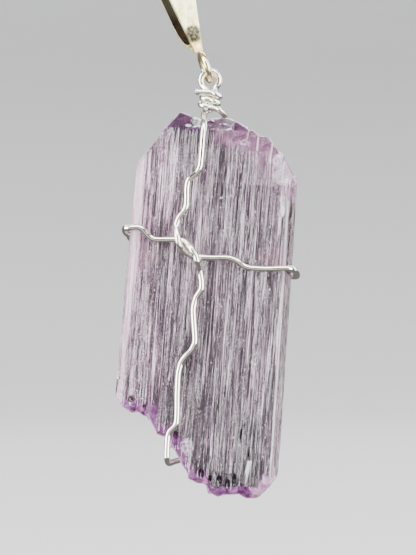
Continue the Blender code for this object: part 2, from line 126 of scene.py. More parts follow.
# %% A field: one output of a node that can be calculated with
class Field:
    """One output of a node. Arithmetic on it adds Math nodes to its tree."""

    def __init__(self, tree, socket):
        self.tree = tree
        self.socket = socket

    def output(self, name):
        """Another output of the same node."""
        return Field(self.tree, open_socket(self.socket.node.outputs, name))

    def maths(self, operation, *others):
        return self.tree.node("ShaderNodeMath", {"operation": operation}, dict(enumerate((self, *others))))

    def vector(self, operation, other, output=0):
        return self.tree.node("ShaderNodeVectorMath", {"operation": operation}, {0: self, 1: other}, output)

    def scaled(self, by):
        return self.tree.node("ShaderNodeVectorMath", {"operation": "SCALE"}, {0: self, "Scale": by})

    def __add__(self, other):
        return self.maths("ADD", other)

    def __sub__(self, other):
        return self.maths("SUBTRACT", other)

    def __mul__(self, other):
        return self.maths("MULTIPLY", other)

    def __truediv__(self, other):
        return self.maths("DIVIDE", other)

    def __rsub__(self, other):
        return self.tree.node("ShaderNodeMath", {"operation": "SUBTRACT"}, {0: other, 1: self})

    __radd__ = __add__
    __rmul__ = __mul__

    def __abs__(self):
        return self.maths("ABSOLUTE")

    def at_least(self, other):
        return self.maths("MAXIMUM", other)

    def at_most(self, other):
        return self.maths("MINIMUM", other)

    def rise(self, low, high):
        """0 where the field is under low, 1 where it is over high, and smooth between them."""
        sockets = {"Value": self, "From Min": low, "From Max": high}
        return self.tree.node("ShaderNodeMapRange", {"interpolation_type": "SMOOTHSTEP"}, sockets)


def open_socket(sockets, name):
    """A node's socket by number or name. Of several with one name, only the one in use is enabled."""
    if isinstance(name, int):
        return sockets[name]
    return next(socket for socket in sockets if socket.name == name and socket.enabled)


# %% A tree: makes any node
class Tree:
    """A node tree that is being built."""

    def __init__(self, made):
        self.made = made

    def node(self, kind, settings=None, sockets=None, output=0):
        node = self.made.nodes.new(kind)
        for name, value in (settings or {}).items():
            if name == "stops":
                colour_stops(node.color_ramp, value)
            else:
                setattr(node, name, value)
        for name, value in (sockets or {}).items():
            for single in value if isinstance(value, list) else [value]:
                self.feed(open_socket(node.inputs, name), single)
        return Field(self, open_socket(node.outputs, output))

    def feed(self, socket, value):
        if isinstance(value, Field):
            self.made.links.new(value.socket, socket)
        elif socket.type == "RGBA":
            socket.default_value = (*value, 1.0)
        else:
            socket.default_value = value

    def joined(self, x=0.0, y=0.0, z=0.0):
        """A vector made of three numbers or fields."""
        return self.node("ShaderNodeCombineXYZ", {}, {"X": x, "Y": y, "Z": z})

    def parts(self, vector):
        """The three numbers that a vector is made of."""
        whole = self.node("ShaderNodeSeparateXYZ", {}, {0: vector})
        return [whole.output(axis) for axis in "XYZ"]

    def blend(self, factor, first, second):
        """A colour that goes from first to second as factor goes from 0 to 1."""
        colours = {"Factor": factor, "A": first, "B": second}
        return self.node("ShaderNodeMix", {"data_type": "RGBA"}, colours, "Result")

    def noise(self, place, detail=2.0, roughness=0.5):
        """Smooth random values around 0.5, in cells one unit wide."""
        sizes = {"Vector": place, "Scale": 1.0, "Detail": detail, "Roughness": roughness}
        return self.node("ShaderNodeTexNoise", {}, sizes)


def colour_stops(ramp, stops):
    while len(ramp.elements) < len(stops):
        ramp.elements.new(0.5)
    for element, (place, colour) in zip(ramp.elements, stops):
        element.position = place
        element.color = (*colour, 1.0)


# %% A recipe: a Geometry Nodes tree with named inputs
class Recipe(Tree):
    """A Geometry Nodes tree. It takes a mesh and named values, and gives a plain mesh back."""

    KINDS = {
        float: "NodeSocketFloat",
        int: "NodeSocketInt",
        bpy.types.Object: "NodeSocketObject",
        bpy.types.Material: "NodeSocketMaterial",
    }

    def __init__(self, name, values):
        super().__init__(bpy.data.node_groups.new(name, "GeometryNodeTree"))
        ports = self.made.interface
        ports.new_socket("Geometry", in_out="INPUT", socket_type="NodeSocketGeometry")
        ports.new_socket("Geometry", in_out="OUTPUT", socket_type="NodeSocketGeometry")
        self.values = values
        self.identifiers = {}
        for label, value in values.items():
            port = ports.new_socket(label, in_out="INPUT", socket_type=self.KINDS[type(value)])
            self.identifiers[label] = port.identifier
        self.entry = self.made.nodes.new("NodeGroupInput")

    def given(self, label):
        """One of the recipe's inputs."""
        return Field(self, open_socket(self.entry.outputs, label))

    def place(self):
        return self.node("GeometryNodeInputPosition")

    def curve(self):
        """The line that the recipe is given, as a curve."""
        return self.node("GeometryNodeMeshToCurve", {}, {"Mesh": self.given("Geometry")})

    def swept(self, path, outline, **more):
        """The outline drawn along the path, with its two ends closed."""
        sockets = {"Curve": path, "Profile Curve": outline, "Fill Caps": True, **more}
        return self.node("GeometryNodeCurveToMesh", {}, sockets)

    def moved(self, shape, **places):
        """The shape with each point put at a new Position, or shifted by an Offset."""
        return self.node("GeometryNodeSetPosition", {}, {"Geometry": shape, **places})

    def keeping(self, shape, name, value, kind="FLOAT"):
        """The shape with a value kept on its points under a name, so that a finish can read it."""
        settings = {"data_type": kind, "domain": "POINT"}
        sockets = {"Geometry": shape, "Name": name, "Value": value}
        return self.node("GeometryNodeStoreNamedAttribute", settings, sockets)

    def kept(self, name, kind="FLOAT"):
        return self.node("GeometryNodeInputNamedAttribute", {"data_type": kind}, {"Name": name})

    def end(self, shape):
        """Ends the recipe: instances are made real, the finish is given, and the result is handed out."""
        real = self.node("GeometryNodeRealizeInstances", {}, {"Geometry": shape})
        finish = {"Geometry": real, "Material": self.given("Finish")}
        finished = self.node("GeometryNodeSetMaterial", {}, finish)
        way_out = self.made.nodes.new("NodeGroupOutput")
        self.made.links.new(finished.socket, way_out.inputs[0])
        return self

    def run(self, piece):
        """Follows the recipe on a piece and leaves its result there as a plain mesh."""
        step = piece.modifiers.new(self.made.name, "NODES")
        step.node_group = self.made
        for label, value in self.values.items():
            step[self.identifiers[label]] = value
        return applied(piece)


# %% Helpers for pieces
def placed(name, data):
    """A new object in the scene: a piece, a light or the camera."""
    made = bpy.data.objects.new(name, data)
    bpy.context.scene.collection.objects.link(made)
    return made


def applied(piece):
    """Gives the piece the mesh that its modifiers make, and removes them."""
    graph = bpy.context.evaluated_depsgraph_get()
    mesh = bpy.data.meshes.new_from_object(piece.evaluated_get(graph))
    piece.modifiers.clear()
    piece.data = mesh
    return piece


def modify(piece, name, kind, **settings):
    """Adds a modifier with its settings to the piece."""
    step = piece.modifiers.new(name, kind)
    for label, value in settings.items():
        setattr(step, label, value)


def mesh_of(form, name):
    """The mesh that a bmesh form holds."""
    mesh = bpy.data.meshes.new(name)
    form.to_mesh(mesh)
    form.free()
    return mesh


def polyline(name, points, closed=False):
    """A piece that is only a line through the points, for a recipe to follow."""
    count = len(points)
    links = [(number, (number + 1) % count) for number in range(count if closed else count - 1)]
    mesh = bpy.data.meshes.new(name)
    mesh.from_pydata(points, links, [])
    return placed(name, mesh)


# %% Helpers for shading, counting and smooth lines
def shade(piece, crease=None):
    """Smooth shading, with a crisp line at every edge that is bent more than the crease's degrees."""
    piece.data.shade_smooth()
    if crease:
        piece.data.set_sharp_from_angle(angle=math.radians(crease))


def triangles(piece):
    piece.data.calc_loop_triangles()
    return len(piece.data.loop_triangles)


def smooth(points, steps=24):
    """Dense points on one smooth curve through the given ones, which need not be evenly spaced."""
    points = [Vector(point) for point in points]
    points = [2 * points[0] - points[1], *points, 2 * points[-1] - points[-2]]
    dense = []
    for before, start, end, after in zip(points, points[1:], points[2:], points[3:]):
        pairs = ((before, start), (start, end), (end, after))
        lead, span, trail = (math.sqrt((second - first).length) for first, second in pairs)
        leave = ((start - before) / lead * span + (end - start) / span * lead) / (lead + span) * span
        arrive = ((end - start) / span * trail + (after - end) / trail * span) / (span + trail) * span
        for step in range(steps):
            t = step / steps
            dense.append(
                start * (2 * t**3 - 3 * t**2 + 1)
                + leave * (t**3 - 2 * t**2 + t)
                + end * (3 * t**2 - 2 * t**3)
                + arrive * (t**3 - t**2)
            )
    dense.append(points[-2])
    return dense


# %% [markdown]
# ## The set and the camera
# The photograph looks at the broad face from slightly to the right and level with it. One pixel is 0.127 mm
# at the crystal, so the picture is about 53 mm wide and 70 mm high there. A long lens from half a metre keeps
# the perspective as flat as it is in the photograph.

# %% The camera
PHOTO = (416, 555)
PIXEL = 0.000127
ORIGIN_PIXEL = (168.8, -33.5)  # where the model's origin falls, just above the picture
CAMERA_AZIMUTH = math.radians(5)
CAMERA_DISTANCE = 0.5
SENSOR = 36.0

lens = bpy.data.cameras.new("camera")
lens.sensor_width = SENSOR
lens.lens = SENSOR * CAMERA_DISTANCE / (PHOTO[1] * PIXEL)
lens.clip_start = 0.01
lens.clip_end = 20.0
camera = placed("camera", lens)
bpy.context.scene.camera = camera
across = (PHOTO[0] / 2 - ORIGIN_PIXEL[0]) * PIXEL
up = (ORIGIN_PIXEL[1] - PHOTO[1] / 2) * PIXEL
centre = Vector((across, 0.0, up))
back = Vector((math.sin(CAMERA_AZIMUTH), -math.cos(CAMERA_AZIMUTH), 0.0))
camera.location = centre + CAMERA_DISTANCE * back
camera.rotation_euler = (math.radians(90), 0.0, CAMERA_AZIMUTH)
print("Lens", round(lens.lens, 1), "mm, looking at", in_mm(centre), "mm")

# %% [markdown]
# The floor is a pale round sheet that curves up into a wall all round, like the paper sweep on a
# photographer's table. So the pendant has the same quiet ground behind it from every side, with no edge in
# sight.

# %% The floor and its curved wall
FLOOR_HEIGHT = -0.088
FLOOR_RADIUS = 1.5
SWEEP_RADIUS = 0.6
WALL_HEIGHT = 1.1
SWEEP_TURNS = 96
PALE_GREY = (0.50, 0.50, 0.51, 1.0)

quarter = [math.radians(degrees) for degrees in range(0, 91, 10)]
profile = [(0.0, 0.0), (0.4, 0.0), (0.8, 0.0)]
profile += [
    (FLOOR_RADIUS - SWEEP_RADIUS * (1 - math.sin(a)), SWEEP_RADIUS * (1 - math.cos(a))) for a in quarter
]
profile.append((FLOOR_RADIUS, WALL_HEIGHT))
form = bmesh.new()
chain = [form.verts.new((reach, 0.0, FLOOR_HEIGHT + height)) for reach, height in profile]
edges = [form.edges.new(pair) for pair in zip(chain, chain[1:])]
bmesh.ops.spin(
    form,
    geom=chain + edges,
    cent=(0, 0, 0),
    axis=(0, 0, 1),
    angle=math.tau,
    steps=SWEEP_TURNS,
    use_merge=True,
)
bmesh.ops.remove_doubles(form, verts=form.verts[:], dist=0.0001)
bmesh.ops.recalc_face_normals(form, faces=form.faces[:])
floor = placed("floor", mesh_of(form, "floor"))
shade(floor)
paper = bpy.data.materials.new("pale_paper")
paper.use_nodes = True
paper_shader = paper.node_tree.nodes["Principled BSDF"]
paper_shader.inputs["Base Color"].default_value = PALE_GREY
paper_shader.inputs["Roughness"].default_value = 0.85
floor.data.materials.append(paper)
floor.visible_glossy = False
print("Floor", round(1000 * FLOOR_HEIGHT), "mm,", triangles(floor), "triangles")

# %% [markdown]
# Glass and metal show their surroundings more than themselves. Two large soft panels stand left and right of
# the camera and one hangs above, with a dimmer room between them: the panels draw the long bright lines on
# the wire, and the dimmer gaps draw its dark ones. A weak panel near the floor lifts the undersides, and two
# behind the pendant light its rims and the wall. The metal doesn't mirror the pale floor, which would wash
# out its dark lines.

# %% Soft studio lights
PANELS = (
    ("left_panel", (-0.90, -0.42, 0.12), 0.60, 1.00, 35.0),
    ("right_panel", (0.76, -0.62, 0.14), 0.50, 1.00, 25.0),
    ("top_panel", (0.0, -0.50, 0.80), 1.10, 0.40, 22.0),
    ("low_panel", (0.0, -0.22, -0.086), 0.40, 0.12, 0.12),
    ("rim_panel", (0.72, 0.50, 0.15), 0.45, 0.90, 10.0),
    ("back_panel", (0.0, 0.90, 0.60), 0.80, 0.40, 12.0),
)
for name, place, width, height, watts in PANELS:
    light = bpy.data.lights.new(name, "AREA")
    light.shape = "RECTANGLE"
    light.size = width
    light.size_y = height
    light.energy = watts
    panel = placed(name, light)
    panel.location = place
    panel.rotation_euler = (centre - Vector(place)).to_track_quat("-Z", "Y").to_euler()
    panel.visible_camera = False

world = bpy.data.worlds.new("studio")
bpy.context.scene.world = world
world.use_nodes = True
room = world.node_tree.nodes["Background"].inputs
room["Color"].default_value = (0.55, 0.56, 0.58, 1.0)
room["Strength"].default_value = 0.35
print("Lights:", len(PANELS), "panels in a dim room")

# %% [markdown]
# ## The crystal's form
# Kunzite grows as flat prisms that are finely grooved along their length, and its ends break into many growth
# tips. A box with a bump in its finish would keep straight edges, which no light can hide. The grooved prism
# follows a rule, so Geometry Nodes make it: the outline of the cross-section is swept along the crystal,
# tapered, and pushed in by stretched noise. A stretched Voronoi pattern gives the wide growth terraces, and
# noise folded at its middle value gives the sharp grooves.

# %% The outline of the cross-section
def section_corners():
    """The eight corners, from the left edge along the front to the right and back behind."""
    wide = WIDTH_MIDDLE / 2
    deep = THICKNESS_MIDDLE / 2
    left_run, left_back = LEFT_BEVEL
    right_run, right_back = RIGHT_BEVEL
    return [
        (-wide, left_back - deep),
        (left_run - wide, -deep),
        (wide - right_run, -deep),
        (wide, right_back - deep),
        (wide, deep - right_back),
        (wide - left_run, deep),
        (right_run - wide, deep),
        (-wide, deep - left_back),
    ]


print("The cross-section has", len(section_corners()), "corners")

# %% The finishes are made later, and the recipes need their names now
kunzite = bpy.data.materials.new("striated_kunzite")
silver = bpy.data.materials.new("polished_silver_wire")
worn_silver = bpy.data.materials.new("worn_bail_silver")
ring_silver = bpy.data.materials.new("soldered_ring_silver")
print("Finishes to come:", kunzite.name, silver.name, worn_silver.name, ring_silver.name)


# %% A recipe for the grooved prism
def prism_recipe():
    recipe = Recipe(
        "striated_prism",
        {
            "Half Length": PRISM_HALF_LENGTH,
            "Column Width": 0.000085,
            "Sections": 112,
            "Width": WIDTH_MIDDLE,
            "Width Growth": WIDTH_GROWTH,
            "Thickness": THICKNESS_MIDDLE,
            "Thickness Growth": THICKNESS_GROWTH,
            "Terrace Width": 0.0017,
            "Terrace Length": 0.030,
            "Terrace Depth": 0.00016,
            "Groove Width": 0.00046,
            "Groove Length": 0.020,
            "Groove Depth": 0.00015,
            "Seed": 29.0,
            "Finish": kunzite,
        },
    )
    node, given = recipe.node, recipe.given

    outline = recipe.curve()
    here = recipe.place()
    following = (node("GeometryNodeInputIndex") + 1.0).maths("MODULO", float(len(section_corners())))
    neighbour = {"Value": here, "Index": following}
    ahead = node("GeometryNodeFieldAtIndex", {"data_type": "FLOAT_VECTOR"}, neighbour)
    cuts = here.vector("DISTANCE", ahead, "Value") / given("Column Width")
    outline = node("GeometryNodeSubdivideCurve", {}, {"Curve": outline, "Cuts": cuts})

    top = recipe.joined(z=given("Half Length"))
    foot = recipe.joined(z=0.0 - given("Half Length"))
    axis = node("GeometryNodeCurvePrimitiveLine", {}, {"Start": foot, "End": top})
    axis = node("GeometryNodeResampleCurve", {"mode": "COUNT"}, {"Curve": axis, "Count": given("Sections")})
    prism = recipe.swept(axis, outline)

    u, v, w = recipe.parts(recipe.place())
    across = u * (1.0 - given("Width Growth") * w / given("Width"))
    through = v * (1.0 + given("Thickness Growth") * across / given("Thickness"))
    prism = recipe.moved(prism, Position=recipe.joined(across, through, w))

    def stretched(wide, long):
        """The place counted in cells that are wide across and long along the crystal."""
        counted = recipe.place().vector("DIVIDE", recipe.joined(given(wide), given(wide), given(long)))
        return counted.vector("ADD", recipe.joined(y=given("Seed")))

    terraces = {"Vector": stretched("Terrace Width", "Terrace Length"), "Scale": 1.0}
    cells = node("ShaderNodeTexVoronoi", {"feature": "F1"}, terraces, "Color")
    step = recipe.parts(cells)[0]
    wave = recipe.noise(stretched("Groove Width", "Groove Length"), 1.5, 0.6)
    sharpness = 7.0
    groove = (1.0 - abs(wave - 0.5) * sharpness).at_least(0.0)
    strength = recipe.noise(stretched("Terrace Width", "Groove Length")).rise(0.35, 0.65)
    groove = groove * (0.25 + 0.75 * strength)
    depth = step * given("Terrace Depth") + groove * given("Groove Depth")
    prism = recipe.moved(prism, Offset=node("GeometryNodeInputNormal").scaled(0.0 - depth))
    return recipe.end(recipe.keeping(prism, "groove", groove))


crystal = polyline("kunzite_crystal_piece", [(u, v, 0.0) for u, v in section_corners()], closed=True)
prism_recipe().run(crystal)
print("Grooved prism:", triangles(crystal), "triangles")

# %% [markdown]
# ## The crystal's growth tips
# Each end of the crystal is a cluster of upright columns, and each column ends in a roof of four clear
# facets. Sculpting would round such facets, and planes keep them flat: a box trimmed by four sloping planes
# through its tip makes one column, and a Boolean union joins them. The tables have one row for each column,
# listed one by one, because nature gave them no rule.

# %% The columns at both ends
# Left side, right side, tip across, tip height, fall to the left and right in degrees,
# depth of the roof's crest, fall to the front and back in degrees.
UPPER_TIPS = (
    (-0.0115, -0.0036, -0.00524, 0.02399, 56.5, 18, -0.0012, 45, 47),
    (-0.0038, -0.0022, -0.00375, 0.02351, 62, 13, 0.0003, 25, 45),
    (-0.0026, 0.0016, 0.00067, 0.02370, 9, 15, 0.0003, 26, 45),
    (0.0014, 0.0036, 0.00189, 0.02337, 40, 29, -0.0003, 45, 50),
    (0.0034, 0.0050, 0.00419, 0.02237, 10, 40, -0.0008, 45, 38),
    (0.0048, 0.0068, 0.00595, 0.02173, 1, 41, -0.0010, 45, 45),
    (0.0066, 0.0084, 0.00668, 0.02112, 40, 48, -0.0013, 45, 42),
    (0.0080, 0.0115, 0.00799, 0.01968, 42, 58, -0.0006, 48, 47),
)
LOWER_TIPS = (
    (-0.0115, -0.0093, -0.00954, -0.01381, 58, 40, -0.0020, 42, 30),
    (-0.0098, -0.0074, -0.00819, -0.01465, 32, 23, -0.0024, 45, 24),
    (-0.0076, -0.0059, -0.00671, -0.01496, 36, 25, -0.0017, 44, 28),
    (-0.0064, -0.0040, -0.00476, -0.01702, 61, 40, -0.0022, 47, 33),
    (-0.0048, -0.0029, -0.00325, -0.01741, 14, 50, -0.0026, 45, 30),
    (-0.0036, 0.0003, -0.00005, -0.02244, 58, 30, -0.0016, 43, 36),
    (-0.0004, 0.0016, 0.00100, -0.02287, 22, 11, -0.0024, 45, 27),
    (0.0015, 0.0030, 0.00263, -0.02393, 51, 30, -0.0014, 45, 34),
    (0.0024, 0.0042, 0.00352, -0.02437, 26, 31, -0.0021, 46, 29),
    (0.0040, 0.0061, 0.00470, -0.02398, 5, 10, -0.0026, 43, 25),
    (0.0059, 0.0075, 0.00709, -0.02426, 29, 3, -0.0018, 45, 33),
    (0.0072, 0.0088, 0.00812, -0.02419, 2, 28, -0.0023, 44, 28),
    (0.0083, 0.0115, 0.00868, -0.02396, 20, 54, -0.0019, 46, 35),
)
print("Columns:", len(UPPER_TIPS), "above and", len(LOWER_TIPS), "below")


# %% One growth column
def growth_column(row, foot, depth=0.012):
    """One column with its roof: a box trimmed by four sloping planes through its tip."""
    left, right, tip, height, fall_left, fall_right, crest, fall_front, fall_back = row
    up = math.copysign(1, height - foot)
    form = bmesh.new()
    bmesh.ops.create_cube(form, size=1.0)
    size = Matrix.Diagonal((right - left, depth, abs(height - foot), 1.0))
    seat = Matrix.Translation(((left + right) / 2, 0, (height + foot) / 2))
    bmesh.ops.transform(form, matrix=seat @ size, verts=form.verts)
    slopes = ((-1, 0, fall_left), (1, 0, fall_right), (0, -1, fall_front), (0, 1, fall_back))
    for aside, backward, degrees in slopes:
        fall = math.radians(degrees)
        normal = Vector((aside, backward, 0)) * math.sin(fall) + Vector((0, 0, up)) * math.cos(fall)
        cut = bmesh.ops.bisect_plane(
            form,
            geom=form.verts[:] + form.edges[:] + form.faces[:],
            plane_co=(tip, crest, height),
            plane_no=normal,
            clear_outer=True,
        )
        rim = [part for part in cut["geom_cut"] if isinstance(part, bmesh.types.BMEdge)]
        bmesh.ops.contextual_create(form, geom=rim)
    bmesh.ops.recalc_face_normals(form, faces=form.faces[:])
    return mesh_of(form, "growth_column")


def boolean(piece, tool, operation):
    """Joins, cuts or crops the piece by the tool, and removes the tool."""
    modify(piece, operation.lower(), "BOOLEAN", operation=operation, object=tool, solver="MANIFOLD")
    applied(piece)
    bpy.data.objects.remove(tool)
    return piece


# %% The columns joined
FOOT = 0.002  # how far the first column reaches past the crystal's middle
FOOT_GROWTH = 0.07  # each next one reaches further by this share of it, so that no two feet are level

growth = None
for number, row in enumerate(UPPER_TIPS + LOWER_TIPS):
    foot = math.copysign(FOOT * (1 + FOOT_GROWTH * number), -row[3])
    column = placed("growth_column", growth_column(row, foot))
    growth = boolean(growth, column, "UNION") if growth else column
print("Growth form:", triangles(growth), "triangles")

# %% [markdown]
# Between the large tips the real ends are stepped by many small ones, a millimetre across and less. They
# repeat, so Geometry Nodes scatter them: points on every sloping facet, a small roofed column on each point,
# turned the way its end of the crystal grows, and all of them joined to the form.

# %% A recipe for the small growth steps
SMALL_TIP = (-0.5, 0.5, 0.12, 0.30, 38, 30, -0.10, 44, 36)  # in units of its own width
FACET_SLOPE = 0.25  # a face slopes where its normal points up or down by more than this


def steps_recipe(tip):
    recipe = Recipe(
        "growth_steps",
        {
            "Tip": tip,
            "Steps per Area": 220000.0,
            "Smallest": 0.00035,
            "Largest": 0.00095,
            "Seed": 5,
            "Finish": kunzite,
        },
    )
    node, given = recipe.node, recipe.given
    facing = recipe.parts(node("GeometryNodeInputNormal"))[2]
    scatter = {
        "Mesh": given("Geometry"),
        "Selection": abs(facing).maths("GREATER_THAN", FACET_SLOPE),
        "Density": given("Steps per Area"),
        "Seed": given("Seed"),
    }
    method = {"distribute_method": "RANDOM"}
    spots = node("GeometryNodeDistributePointsOnFaces", method, scatter, "Points")
    below = recipe.parts(recipe.place())[2].maths("LESS_THAN", 0.0)
    turn = node("FunctionNodeEulerToRotation", {}, {0: recipe.joined(y=below * math.pi)})
    limits = {"Min": given("Smallest"), "Max": given("Largest"), "Seed": given("Seed")}
    size = node("FunctionNodeRandomValue", {"data_type": "FLOAT"}, limits, "Value")
    each = {
        "Points": spots,
        "Instance": node("GeometryNodeObjectInfo", {}, {"Object": given("Tip")}, "Geometry"),
        "Rotation": turn,
        "Scale": recipe.joined(size, size, size),
    }
    tips = node("GeometryNodeInstanceOnPoints", {}, each)
    union = {"operation": "UNION", "solver": "EXACT"}
    both = {"Mesh": [given("Geometry"), tips]}
    return recipe.end(node("GeometryNodeMeshBoolean", union, both, "Mesh"))


small_tip = placed("small_tip", growth_column(SMALL_TIP, foot=-1.0, depth=1.0))
steps_recipe(small_tip).run(growth)
bpy.data.objects.remove(small_tip)
print("Growth form with its small steps:", triangles(growth), "triangles")

# %% [markdown]
# On the real crystal the columns aren't separate blocks: they grew into each other, and their edges are a
# little rounded. A voxel remesh lays one fine even skin over them all, and a few rounds of smoothing melt it.

# %% The growth forms melt into each other
SKIN = 0.00016
modify(growth, "skin", "REMESH", mode="VOXEL", voxel_size=SKIN)
modify(growth, "melt", "SMOOTH", factor=0.5, iterations=6)
applied(growth)
print("Growth form with its skin:", triangles(growth), "triangles")

# %% [markdown]
# Small hollows are etched into the broad faces, most of them near the lower end. Each is a stretched ball,
# half sunk in the face. One Boolean crops the grooved prism by the growth form, and a second cuts out all the
# hollows.

# %% Hollows etched into the broad faces: side, place across and up, half width, half length
ETCH_HOLLOWS = (
    (-1, 0.0013, -0.0215, 0.00040, 0.0008),
    (-1, 0.0025, -0.0221, 0.00034, 0.0007),
    (-1, 0.0036, -0.0222, 0.00042, 0.0009),
    (-1, 0.0047, -0.0225, 0.00036, 0.0008),
    (-1, 0.0055, -0.0219, 0.00034, 0.0010),
    (-1, 0.0059, -0.0162, 0.00016, 0.0010),
    (-1, 0.0071, -0.0186, 0.00014, 0.0008),
    (-1, -0.0023, -0.0168, 0.00036, 0.0006),
    (-1, -0.0083, -0.0128, 0.00046, 0.0005),
    (-1, -0.0066, -0.0137, 0.00030, 0.0005),
    (1, 0.0030, -0.0196, 0.00050, 0.0013),
    (1, -0.0052, -0.0120, 0.00040, 0.0018),
    (1, 0.0064, 0.0105, 0.00045, 0.0014),
    (1, -0.0034, 0.0170, 0.00035, 0.0010),
)
ETCH_DEPTH = 0.0006
print("Hollows:", len(ETCH_HOLLOWS))


# %% The crystal cropped and etched
def half_width(w):
    """Half the crystal's width at a height."""
    return (WIDTH_MIDDLE - WIDTH_GROWTH * w) / 2


def half_thickness(u):
    """Half the crystal's thickness at a place across it."""
    return (THICKNESS_MIDDLE + THICKNESS_GROWTH * u) / 2


form = bmesh.new()
for side, u, w, half_across, half_along in ETCH_HOLLOWS:
    ball = bmesh.ops.create_icosphere(form, subdivisions=2, radius=1.0)
    stretch = Matrix.Diagonal((half_across, ETCH_DEPTH, half_along, 1.0))
    seat = Matrix.Translation((u, side * half_thickness(u), w))
    bmesh.ops.transform(form, matrix=seat @ stretch, verts=ball["verts"])
hollows = placed("etch_hollows", mesh_of(form, "etch_hollows"))

boolean(crystal, growth, "INTERSECT")
boolean(crystal, hollows, "DIFFERENCE")
print("Crystal:", triangles(crystal), "triangles")

# %% [markdown]
# The finish has to know two things that noise can't tell it: which faces are clear growth facets, and how far
# a place lies inside the tips, because the crystal is deepest violet there. Both are worked out on the mesh
# and kept on it as attributes, with the hollows, where the finish paints shade. Then the crystal is moved from
# its own frame to its place under the bail.

# %% What the finish has to know about the crystal's shape
HOLLOW_REACH = 1.15  # how far a hollow's mark reaches, in half widths of the hollow
HOLLOW_RIM = 0.3  # how wide the mark's soft rim is, in the same unit
OUTSIDE_HOLLOWS = 0.05  # a face with less of the mark than this isn't in a hollow


def inside_of(tips, across, outward):
    """How far places lie inside one end's outline, at right angles to its slope."""
    furthest = np.zeros(len(across))
    slope = np.ones(len(across))
    for left, right, tip, height, fall_left, fall_right, *_ in tips:
        fall = np.radians(np.where(across < tip, fall_left, fall_right))
        here = abs(height) - abs(across - tip) * np.tan(fall)
        further = (across >= left) & (across <= right) & (here > furthest)
        furthest = np.where(further, here, furthest)
        slope = np.where(further, np.cos(fall), slope)
    return (furthest - outward) * slope


def in_hollows(places):
    """1 in the etched hollows and 0 outside them, fading over their rims."""
    deepest = np.zeros(len(places))
    for side, u, w, half_across, half_along in ETCH_HOLLOWS:
        across = (places[:, 0] - u) / half_across
        along = (places[:, 2] - w) / half_along
        inner = HOLLOW_REACH - np.hypot(across, along)
        deepest = np.maximum(deepest, np.where(side * places[:, 1] > 0, inner, 0.0))
    return np.clip(deepest / HOLLOW_RIM, 0.0, 1.0)


def keep(mesh, name, domain, values):
    """Keeps one number for each point or face of the mesh under a name."""
    kept = mesh.attributes.new(name, "FLOAT", domain).data
    kept.foreach_set("value", np.asarray(values, dtype=np.float32))


def rows(items, label):
    """Three numbers for each item of a mesh, such as the place of each vertex."""
    flat = np.empty(3 * len(items), dtype=np.float32)
    items.foreach_get(label, flat)
    return flat.reshape(-1, 3)


def face_middles(mesh):
    """The middle of each face."""
    return np.array([face.center for face in mesh.polygons])


# %% The crystal's attributes, and its place under the bail
places = rows(crystal.data.vertices, "co")
upper = inside_of(UPPER_TIPS, places[:, 0], places[:, 2])
lower = inside_of(LOWER_TIPS, places[:, 0], -places[:, 2])
keep(crystal.data, "depth_inside_tip", "POINT", np.minimum(upper, lower))
keep(crystal.data, "hollow", "POINT", in_hollows(places))
sloping = abs(rows(crystal.data.polygons, "normal")[:, 2]) > FACET_SLOPE
facets = sloping & (in_hollows(face_middles(crystal.data)) < OUTSIDE_HOLLOWS)
keep(crystal.data, "clear_facet", "FACE", facets)
crystal.data.transform(crystal_frame)
shade(crystal, crease=32)
print("Clear facets:", int(facets.sum()), "of", len(facets), "faces")

# %% [markdown]
# ## The wire
# One length of silver wire, 0.76 mm thick, makes the loop, ties the crystal and ends in turns round its own
# neck. It was bent by hand, so no rule gives its bends: its route is a list of given places, and only
# the loop and the turns round the neck are counted out. On a broad face a place is given as (across, up,
# lift), and it keeps the same gap to the face by itself. Elsewhere it is (across, front to back, up).

# %% The wire on a broad face and round an edge
def on_face(side, places):
    """Points of the wire on a broad face, each given as (across, up, lift above its usual height)."""
    return [(u, side * (half_thickness(u) + CLEAR + lift), w) for u, w, lift in places]


def round_edge(side, start, end, forward):
    """The wire's turn round an upright edge, from a start height to an end height and from front to back."""
    edge = half_width((start + end) / 2) + CLEAR
    face = half_thickness(side * edge) + CLEAR
    corner = 0.0008
    turn = (
        (edge - corner, face, start),
        (edge - 0.2 * corner, face - 0.5 * corner, start + 0.05 * (end - start)),
        (edge, face - 2 * corner, start + 0.3 * (end - start)),
        (edge, 2 * corner - face, start + 0.7 * (end - start)),
        (edge - 0.2 * corner, 0.5 * corner - face, start + 0.95 * (end - start)),
        (edge - corner, -face, end),
    )
    return [(side * u, forward * v, w) for u, v, w in turn]


print("The wire's middle runs", in_mm([CLEAR])[0], "mm outside the crystal")


# %% The wire's loop and the turns round its neck
def neck_middle(w):
    """How far across the neck's middle is at a height."""
    return NECK_MIDDLE[0] + NECK_LEAN * (w - NECK_MIDDLE[1])


def leg(side, w):
    """A point of one of the neck's two legs: side is 1 for the back one and -1 for the front one."""
    return (neck_middle(w) + side * LEG.x, side * LEG.y, w)


def loop_and_neck(u, w):
    """The wire's stub end, its way up through the neck, round the loop with its middle at u, w, and down."""
    rising = [leg(1, height) for height in (0.0241, 0.0250, 0.0254, 0.0261)]
    rising.append((u + 0.00055, 0.0003, w - 0.0015))
    arc = [math.radians(degrees) for degrees in range(-38, 220, 32)]
    over = [(u + LOOP_RADIUS * math.cos(a), 0, w + LOOP_RADIUS * math.sin(a)) for a in arc]
    falling = [(u - 0.00035, -0.00035, w - 0.0013)]
    falling += [leg(-1, height) for height in (0.0261, 0.0254, 0.0250, 0.0246)]
    return rising + over + falling


